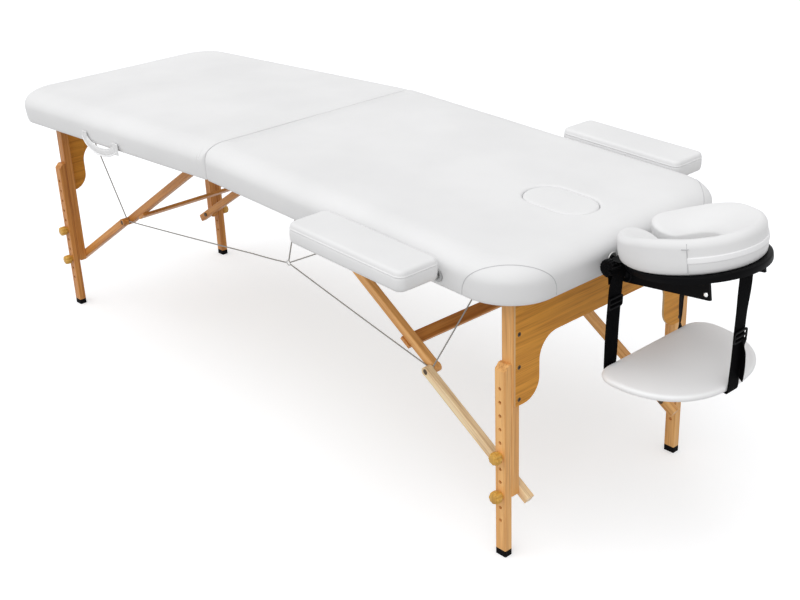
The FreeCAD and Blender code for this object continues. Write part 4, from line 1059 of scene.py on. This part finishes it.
# %% Band and seam of the face cushion
BAND_START, BAND_STOP, BAND_LEVEL = -57.5, 62.0, 0.089
BAND_WIDTH, BAND_THICK, BAND_PROUD = 0.011, 0.0032, 0.0008
SEAM_FOOT, SEAM_HEIGHT = FACE_BASE + 0.004, 0.0565
SEAM_LEVELS, SEAM_PROUD = (0.108, 0.1217), (0.0009, -0.004)
BAR_BEFORE, BAR_AFTER, BAR_LEVEL, BAR_PROUD, BAR_RADIUS = 4, 1.5, 0.111, 0.0006, 0.0011


def round_cushion(turn, level, proud):
    """Points on the outside of the face cushion at angles in degrees and a height, proud of the cover."""
    radius = FACE_RING + FACE_HALF + proud
    angle = np.radians(turn)
    return on_rest(places(FACE_REACH + radius * np.cos(angle), radius * np.sin(angle), level))


band_line = round_cushion(np.linspace(BAND_START, BAND_STOP, 90), BAND_LEVEL, BAND_PROUD)
level = SEAM_FOOT + np.linspace(0, 1, 30) * SEAM_HEIGHT
seam_line = round_cushion(np.full(30, BAND_START), level, np.interp(level, SEAM_LEVELS, SEAM_PROUD))
bar_line = round_cushion(np.linspace(BAND_START - BAR_BEFORE, BAND_START + BAR_AFTER, 14), BAR_LEVEL,
                         BAR_PROUD)
# The seam and the stitched bar are grey with painted shade.
for label, line, side, section, finish in (
        ("band", band_line, REST_NORMAL, flat_section(BAND_WIDTH, BAND_THICK), BAND),
        ("seam", seam_line, ACROSS, round_section(SEAM_RADIUS, 8), SEAM_SHADE),
        ("stitch_bar", bar_line, REST_NORMAL, round_section(BAR_RADIUS, 8), SEAM_SHADE)):
    dress(swept(f"face_cushion_{label}", line, side, section), finish, "face_rest_head")
print("band over", BAND_STOP - BAND_START, "degrees")

# %% [markdown]
# The hanging arm shelf is a thin padded half-moon, in the same leather as the rest but painted brighter,
# as painted light for the shade under the face rest. Its back edge is straight and its two tips are
# rounded. The outline is that of the CAD board: a full half oval with rounded tips, and the skin is a flat
# base, a round edge and a low crown.

# %% Arm shelf
SHELF_BACK, SHELF_FRONT, SHELF_HALF = 1.044, 1.256, 0.173
SHELF_BASE, SHELF_TOP, SHELF_CROWN, SHELF_FILL = -0.1685, -0.1555, 0.001, 0.7
SHELF_TIP, SHELF_FULLNESS = 0.044, 0.85
SHELF_WAVE, SHELF_SEED, SHELF_BUSY = 0.0006, 31, 2
HEART_BACK, HEART_SHARE = 0.01, 0.35
SHELF_EDGE = np.concatenate([
    np.array([(0.01, 0), (0.003, 0.0004), (0.0008, 0.003), (0, 0.007)]) + (0, SHELF_BASE),
    np.array([(0.0006, -0.0035), (0.0022, -0.0012), (0.0055, 0), (0.012, 0.0004)]) + (0, SHELF_TOP)])


def half_moon(inset):
    """Full half oval for the front, quarter rounds at the tips, and a straight back edge."""
    half, back = SHELF_HALF - inset, SHELF_BACK + inset
    depth = SHELF_FRONT - SHELF_BACK - 2 * inset
    turn = np.linspace(-np.pi / 2, np.pi / 2, 121)
    ahead, aside = np.abs(np.cos(turn)) ** SHELF_FULLNESS, np.abs(np.sin(turn)) ** SHELF_FULLNESS
    front = places(back + SHELF_TIP + (depth - SHELF_TIP) * ahead, half * np.sign(turn) * aside)
    bend = np.linspace(0, np.pi / 2, 14)[1:]
    tip = places(back + SHELF_TIP * (1 - np.sin(bend)), half - SHELF_TIP * (1 - np.cos(bend)))
    straight = places(back, np.linspace(half - SHELF_TIP, SHELF_TIP - half, 50)[1:-1])
    return np.concatenate([front, tip, straight, tip[::-1] * (1, -1)])


body = stacked(half_moon, SHELF_EDGE)
heart = places((SHELF_BACK + SHELF_FRONT) / 2 - HEART_BACK, HEART_SHARE * body[:, -1, 1])
shelf = capped(body, heart, SHELF_BASE, SHELF_CROWN, 10)
shelf[..., 2] += soft_waves(shelf * SHELF_BUSY, SHELF_WAVE, SHELF_SEED) * (shelf[..., 2] > SHELF_TOP)
# The shelf gets the brighter cover, which is painted light.
cushion("arm_shelf_cushion", on_half(shelf), "hanging_shelf", "arm_shelf", SHELF_COVER_PAINTED_LIGHT)
print("shelf", round(2 * SHELF_HALF, 3), "m wide")

# %% [markdown]
# Three straps of black webbing carry the shelf: two hang from stubs on the tilting arms, one from under
# the front of the platform. Each is a flat strip carried along a smooth line, with a little twist where
# the photograph shows one, and is sewn under the shelf. They do not bend between the tilting head and
# the swaying shelf. The front one has a loose tail.

# %% Shelf straps
STRAP_WIDTH, STRAP_THICK, TAIL_WIDTH, TAIL_ASIDE, HANG_LEVEL = 0.036, 0.002, 0.016, 0.012, 0.03
REAR_TOP, STRAP_ACROSS = (1.0388, 0.0428), 0.113
FRONT_TOP, FRONT_ACROSS = (1.2575, 0.0905), -0.013
REAR_ROUTE = [(-0.003, -0.025), (-0.0054, -0.007), (-0.0054, 0.004), (0.0, 0.0075), (0.0054, 0.004),
              (0.0054, -0.007), (0.001, -0.025), (0.0, -0.064), (-0.001, -0.13), (0.0, -0.186),
              (0.0, -0.214), (0.0035, -0.2124), (0.023, -0.2124), (0.044, -0.2124)]
FRONT_ROUTE = [(-0.008, -0.0045), (-0.001, -0.003), (0.0004, -0.013), (0.0004, -0.05),
               (-0.001, -0.115), (0.0006, -0.18), (-0.0002, -0.23), (-0.0002, -0.262),
               (-0.0045, -0.2606), (-0.023, -0.2606), (-0.044, -0.2606)]
TAIL_ROUTE = [(0.0046, -0.15), (0.0056, -0.16), (0.0066, -0.18), (0.009, -0.21), (0.0078, -0.238)]


def strap(name, top, route, across, twist_at, twist, reach, width=STRAP_WIDTH):
    """Webbing along a route of (along, above) steps from its top, twisted by a bell about its own line."""
    along, above = (np.array(route) + top).T
    line = smooth_line(on_half(places(along, across, above)))
    share = np.linspace(0, 1, len(line))
    turn = np.radians(twist) * np.exp(-((share - twist_at) / reach) ** 4)
    side = places(np.sin(turn), np.cos(turn), 0.0)
    return dress(swept(name, line, side, flat_section(width, STRAP_THICK, 6.0)), WEBBING)


def hang(piece, along, across):
    """Bake a piece's placement into its mesh; the points at the strap's top on the tilting head and at its
    bottom on the shelf are worked out but not used, so it does not bend.
    """
    tuple(on_half((along, across, HANG_LEVEL)))
    tuple(on_half((along, across, SHELF_TOP)))
    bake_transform(piece)


for label, top, route, across, *twist in (
        ("near_rear", REAR_TOP, REAR_ROUTE, -STRAP_ACROSS, 0.58, 6.0, 0.2),
        ("far_rear", REAR_TOP, REAR_ROUTE, STRAP_ACROSS, 0.58, -48.0, 0.2),
        ("front", FRONT_TOP, FRONT_ROUTE, FRONT_ACROSS, 0.2, 8.0, 0.12)):
    piece = strap(f"{label}_strap", top, route, across, *twist)
    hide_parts("shelf_straps")
    hang(piece, top[0], across)
tail = strap("front_strap_tail", FRONT_TOP, TAIL_ROUTE, FRONT_ACROSS + TAIL_ASIDE, 0.7, -62.0, 0.5,
             TAIL_WIDTH)
hang(tail, FRONT_TOP[0], FRONT_ACROSS)
print("three straps and a tail")

# %% [markdown]
# A slide buckle sits on each strap: a rounded frame of black plastic with a middle bar. The frame is a
# small section carried round a rounded rectangle.

# %% Slide buckles
BUCKLE_WIDTH, BUCKLE_HEIGHT, BUCKLE_CORNER, BUCKLE_INSET = 0.044, 0.026, 0.006, 0.0024
FRAME_SECTION, BAR_WIRE, BAR_SHORT, BAR_STEPS = (0.0034, 0.0046, 3.0, 16), 0.0024, 0.005, 12
BUCKLES = {"near_rear": (REAR_TOP[0] + 0.0028, -STRAP_ACROSS, -0.0235),
           "far_rear": (REAR_TOP[0] + 0.0028, STRAP_ACROSS, -0.0235),
           "front": (FRONT_TOP[0] + 0.003, FRONT_ACROSS, -0.05)}


def buckle(name, along, across, level):
    """Frame and middle bar of a slide buckle whose flat side lies against a strap."""
    flat = rounded_outline(-BUCKLE_HEIGHT / 2, BUCKLE_HEIGHT / 2, BUCKLE_WIDTH / 2, BUCKLE_CORNER,
                           BUCKLE_CORNER, BUCKLE_INSET)
    path = places(along, across + flat[:, 1], level + flat[:, 0])
    ring = swept(name, on_half(path), ALONG, flat_section(*FRAME_SECTION), closed=True)
    reach = np.linspace(-0.5, 0.5, BAR_STEPS) * (BUCKLE_WIDTH - BAR_SHORT)
    line = places(along, across + reach, level)
    bar = swept(f"{name}_bar", on_half(line), ALONG, round_section(BAR_WIRE, 12))
    for part in (ring, bar):
        dress(part, BLACK_PLASTIC, stands_for=("strap_buckles",))
        hang(part, along, across)


for label, place in BUCKLES.items():
    buckle(f"{label}_buckle", *place)
print(len(BUCKLES), "buckles")

# %% [markdown]
# The face rest's platform is a moulded black disc with a hole under the cushion's opening. Its rim is
# turned down like a tray, which is the thick dark edge seen below the cushion. The hole is not in the
# disc's middle, so the rows run between two circles about different centres.

# %% Face rest platform
DISC_REACH, DISC_RADIUS, DISC_HOLE = 1.148, 0.138, 0.058
DISC_BASE, DISC_TOP, RIM_DROP = 0.0535, 0.0595, 0.008
DISC_ROWS = np.concatenate([
    [(0.0, DISC_BASE + 0.001)],
    np.array([(0.0, -0.001), (0.02, -0.0001), (0.5, -0.0001), (0.93, -0.0001), (0.975, -0.0006),
              (0.995, -0.002), (1.0, -0.004)]) + (0, DISC_TOP),
    np.array([(1.0, 0.002), (0.994, 0), (0.965, 0), (0.955, 0.002)]) + (0, DISC_BASE - RIM_DROP),
    [(0.94, DISC_BASE), (0.5, DISC_BASE), (0.02, DISC_BASE)]])


def disc_grid():
    """Closed rows of (share of the way from hole to rim, height): over the top, down, and back under."""
    hole = DISC_HOLE * circle(140) + (FACE_REACH, 0)
    rim = DISC_RADIUS * circle(140) + (DISC_REACH, 0)
    flat = hole[:, None] + DISC_ROWS[None, :, :1] * (rim - hole)[:, None]
    return lifted(flat, DISC_ROWS[:, 1])


disc = grid_piece("face_rest_disc", on_rest(disc_grid()), across=True)
dress(disc, BLACK_PLASTIC, "face_rest_head", ("face_rest_platform",))
print("platform", 2 * DISC_RADIUS, "m across")

# %% [markdown]
# The rivets that hold the arms to the platform are bright domed heads, and the clamp knob of the face
# rest is a fluted black grip with a raised ring on its face. A flat hub covers each end of the tilt axle.

# %% Rivets and the clamp knob
RIVET = np.array([(0.0, 0.0022), (0.0022, 0.002), (0.0042, 0.0012), (0.005, 0.0), (0.0, -0.0002)])
RIVET_REACH, RIVET_LEVEL, ARM_FACE = 1.227, 0.019, 0.0911
CLAMP = JOINTS["face_rest_knob_turn"]["pos_m"]
CLAMP_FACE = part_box("face_rest_knob")[0][1]
CLAMP_RADIUS, CLAMP_LENGTH, FINE_STEPS = 0.0188, 0.0158, 144
CLAMP_PROFILE = np.array([(0.0, -CLAMP_LENGTH, 0), (0.0135, -CLAMP_LENGTH, 0),
                          (0.0168, -CLAMP_LENGTH + 0.0012, 0.6), (CLAMP_RADIUS, -CLAMP_LENGTH + 0.004, 1),
                          (CLAMP_RADIUS, -0.0032, 1), (0.0178, -0.0012, 0.8), (0.0162, -0.0004, 0.3),
                          (0.0142, -0.0002, 0), (0.0132, -0.0014, 0), (0.009, -0.0016, 0),
                          (0.008, -0.0003, 0), (0.0, 0.0, 0)])
HUB = np.array([(0.0, 0.0026), (0.0055, 0.0026), (0.0062, 0.0018), (0.011, 0.0018), (0.0122, 0.0027),
                (0.015, 0.0027), (0.016, 0.0018), (0.0162, 0.0002), (0.0, 0.0001)])


def flutes(count, depth):
    """Factor on a radius by angle: 1 on the lobes, less by depth in the grooves between them."""
    return lambda turn: 1 - depth * (0.5 - 0.5 * np.cos(count * turn)) ** 1.6


for hand, side in HANDS:
    centre = on_rest((RIVET_REACH, side * ARM_FACE, RIVET_LEVEL))
    rivet = lathe(f"{hand}_arm_rivet", RIVET, centre, (0, side, 0), ALONG)
    dress(rivet, BRIGHT_STEEL, "face_rest_head")
clamp = lathe("face_rest_clamp_knob", CLAMP_PROFILE, (CLAMP[0], CLAMP_FACE, CLAMP[2]), (0, -1, 0), ALONG,
              FINE_STEPS, flutes(18, 0.06))
dress(clamp, BLACK_PLASTIC, "face_rest_knob", ("face_rest_knob",))
for hand, side in HANDS:
    centre = on_rest((TILT_REACH, side * ARM_FACE, TILT_LEVEL))
    hub = lathe(f"{hand}_tilt_hub", HUB, centre, (0, side, 0), ALONG, FINE_STEPS)
    dress(hub, BLACK_PLASTIC, "face_rest_head")
print("clamp knob centre", [round(value, 4) for value in CLAMP])

# %% [markdown]
# The height of each leg is held by two wooden hand knobs. They are turned blanks with eight flutes cut
# into the rim and a bevelled, slightly domed face. One profile and one formula for the lobes make all
# eight.

# %% Wooden leg knobs
KNOB_RADIUS, KNOB_NECK, KNOB_STEPS = 0.014, 0.003, 128
KNOB_PROFILE = np.concatenate([[(0.0, 0.0, 0), (0.0088, 0.0, 0)], np.array([
    (0.009, 0, 0), (0.0112, 0.0006, 0.6), (0.0132, 0.0022, 0.9), (KNOB_RADIUS, 0.005, 1),
    (KNOB_RADIUS, 0.013, 1), (0.0134, 0.016, 1), (0.0116, 0.019, 0.9), (0.0098, 0.02, 0.5),
    (0.004, 0.0203, 0), (0.0, 0.0204, 0)]) + (0, KNOB_NECK, 0)])
for end in ENDS:
    for hand, side in HANDS:
        low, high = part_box(f"{end}_{hand}_lower_leg")
        face = low[1] if side < 0 else high[1]
        for level in ("lower", "upper"):
            name = f"{end}_{hand}_{level}_knob"
            x, _, z = JOINTS[f"{name}_turn"]["pos_m"]
            knob = lathe(f"{name}_grip", KNOB_PROFILE, (x, face, z), (0, side, 0), (0, 0, 1), KNOB_STEPS,
                         flutes(8, 0.2))
            dress(knob, KNOB_WOOD, name, (name,))
print("eight knobs")

# %% [markdown]
# Each end panel is held by three dark screws on either side. A screw head is a shallow dome with a
# countersunk rim; the recess for the driver is painted shade: a small dark cross on the dome.

# %% Panel screws
SCREW = np.array([(0.0, 0.0008), (0.003, 0.0006), (0.0046, 0.0), (0.0052, -0.0006), (0.0, -0.0008)])
SCREW_EDGE, SCREW_SUNK, SCREW_STEPS, SCREW_TURN = 0.0052, 0.0006, 40, 0.5
CROSS_ARM, CROSS_WIDTH, CROSS_THICK, CROSS_PROUD = 0.0026, 0.0008, 0.0006, 0.0008


def cross_slots(name, centre, outward, tilt, body):
    """Two dark bars of painted shade across each other, just proud of a screw's dome and turned by tilt."""
    for arm in (0, 1):
        way = np.array((0, math.cos(tilt + arm * np.pi / 2), math.sin(tilt + arm * np.pi / 2)))
        reach = np.linspace(-CROSS_ARM, CROSS_ARM, 5)[:, None]
        line = np.array(centre) + (outward * CROSS_PROUD, 0, 0) + reach * way
        slot = swept(f"{name}_slot_{arm + 1}", line, np.cross(way, ALONG),
                     flat_section(CROSS_WIDTH, CROSS_THICK, 4.0, 8))
        dress(slot, PAINTED_SHADE_SLOT, body)


for end in ENDS:
    low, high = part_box(f"{end}_panel_screws")
    outward, face = (1, high[0]) if end == "head" else (-1, low[0])
    for hand, across in (("near", low[1] + SCREW_EDGE), ("far", high[1] - SCREW_EDGE)):
        for count, height in enumerate(np.linspace(low[2] + SCREW_EDGE, high[2] - SCREW_EDGE, 3)):
            centre = (face - outward * SCREW_SUNK, across, height)
            name = f"{end}_{hand}_panel_screw_{count + 1}"
            screw = lathe(name, SCREW, centre, (outward, 0, 0), ACROSS, SCREW_STEPS)
            dress(screw, DARK_STEEL, f"{end}_leg_frame", (f"{end}_panel_screws",))
            cross_slots(name, centre, outward, SCREW_TURN * count + across, f"{end}_leg_frame")
print("twelve screws")

# %% [markdown]
# The carrying handle is two layers of cover over a thin pad, sewn at both ends to the side of the foot
# half. It is a broad flat strap that sags a little under the pad's edge, with a stitched groove along
# each side and a bright piping on its upper edge. The section is a superellipse with two shallow
# grooves, and the tabs at its ends are gathered in folds.

# %% Carrying handle
HANDLE_OUT, HANDLE_WIDTH, HANDLE_THICK, HANDLE_FILL = -(HALF_WIDTH + 0.0036), 0.021, 0.0062, 0.6
HANDLE_ROUTE = [(0.556, 0.024), (0.552, 0.014), (0.533, 0.001), (0.506, -0.0075), (0.478, -0.0095),
                (0.45, -0.0075), (0.424, -0.0005), (0.406, 0.008), (0.396, 0.013)]
GROOVE_PLACE, GROOVE_WIDTH, GROOVE_DEPTH = 0.0068, 0.0008, 0.32
PIPING_RADIUS, PIPING_SHARE, PIPING_OUT = 0.0019, 0.46, 0.0022
TABS = {"outer": (0.553, 0.021, 0.02, 0.034), "inner": (0.399, 0.025, -0.004, 0.026)}
TAB_THICK, TAB_OUT, TAB_FOLD, TAB_FOLDS, TAB_STEPS = 0.004, 0.0012, 0.35, 6, 12


def handle_section():
    """Flat padded strip with a stitched groove near each edge."""
    section = flat_section(HANDLE_WIDTH, HANDLE_THICK, 3.2, 48)
    groove = np.exp(-((np.abs(section[:, 0]) - GROOVE_PLACE) / GROOVE_WIDTH) ** 2)
    section[:, 1] *= 1 - GROOVE_DEPTH * groove
    return section


def tab_section(width):
    """Flat strip gathered into folds: its thickness rises and falls across the width."""
    section = flat_section(width, TAB_THICK, 4.0, 60)
    section[:, 1] *= 1 + TAB_FOLD * np.cos(section[:, 0] * TAB_FOLDS * np.pi / width)
    return section


along, above = np.array(HANDLE_ROUTE).T
line = smooth_line(on_half(places(along, HANDLE_OUT, above), "foot"))
upwards = unit(np.cross(np.gradient(line, axis=0), (0.0, -1.0, 0.0)))
handle = swept("carry_handle_loop", line, upwards, handle_section())
dress(handle, COVER, "foot_half", ("carry_handle",))
edge_line = line + upwards * HANDLE_WIDTH * PIPING_SHARE + (0, -PIPING_OUT, 0)
piping = swept("carry_handle_piping", edge_line, upwards, round_section(PIPING_RADIUS, 10))
dress(piping, BAND, "foot_half")
for label, (along, width, low, high) in TABS.items():
    tab_line = on_half(places(along, HANDLE_OUT - TAB_OUT, np.linspace(low, high, TAB_STEPS)), "foot")
    tab = swept(f"carry_handle_{label}_tab", tab_line, ALONG, tab_section(width))
    dress(tab, COVER, "foot_half")
print("handle", round(float(run_length(line)[-1]), 3), "m long")
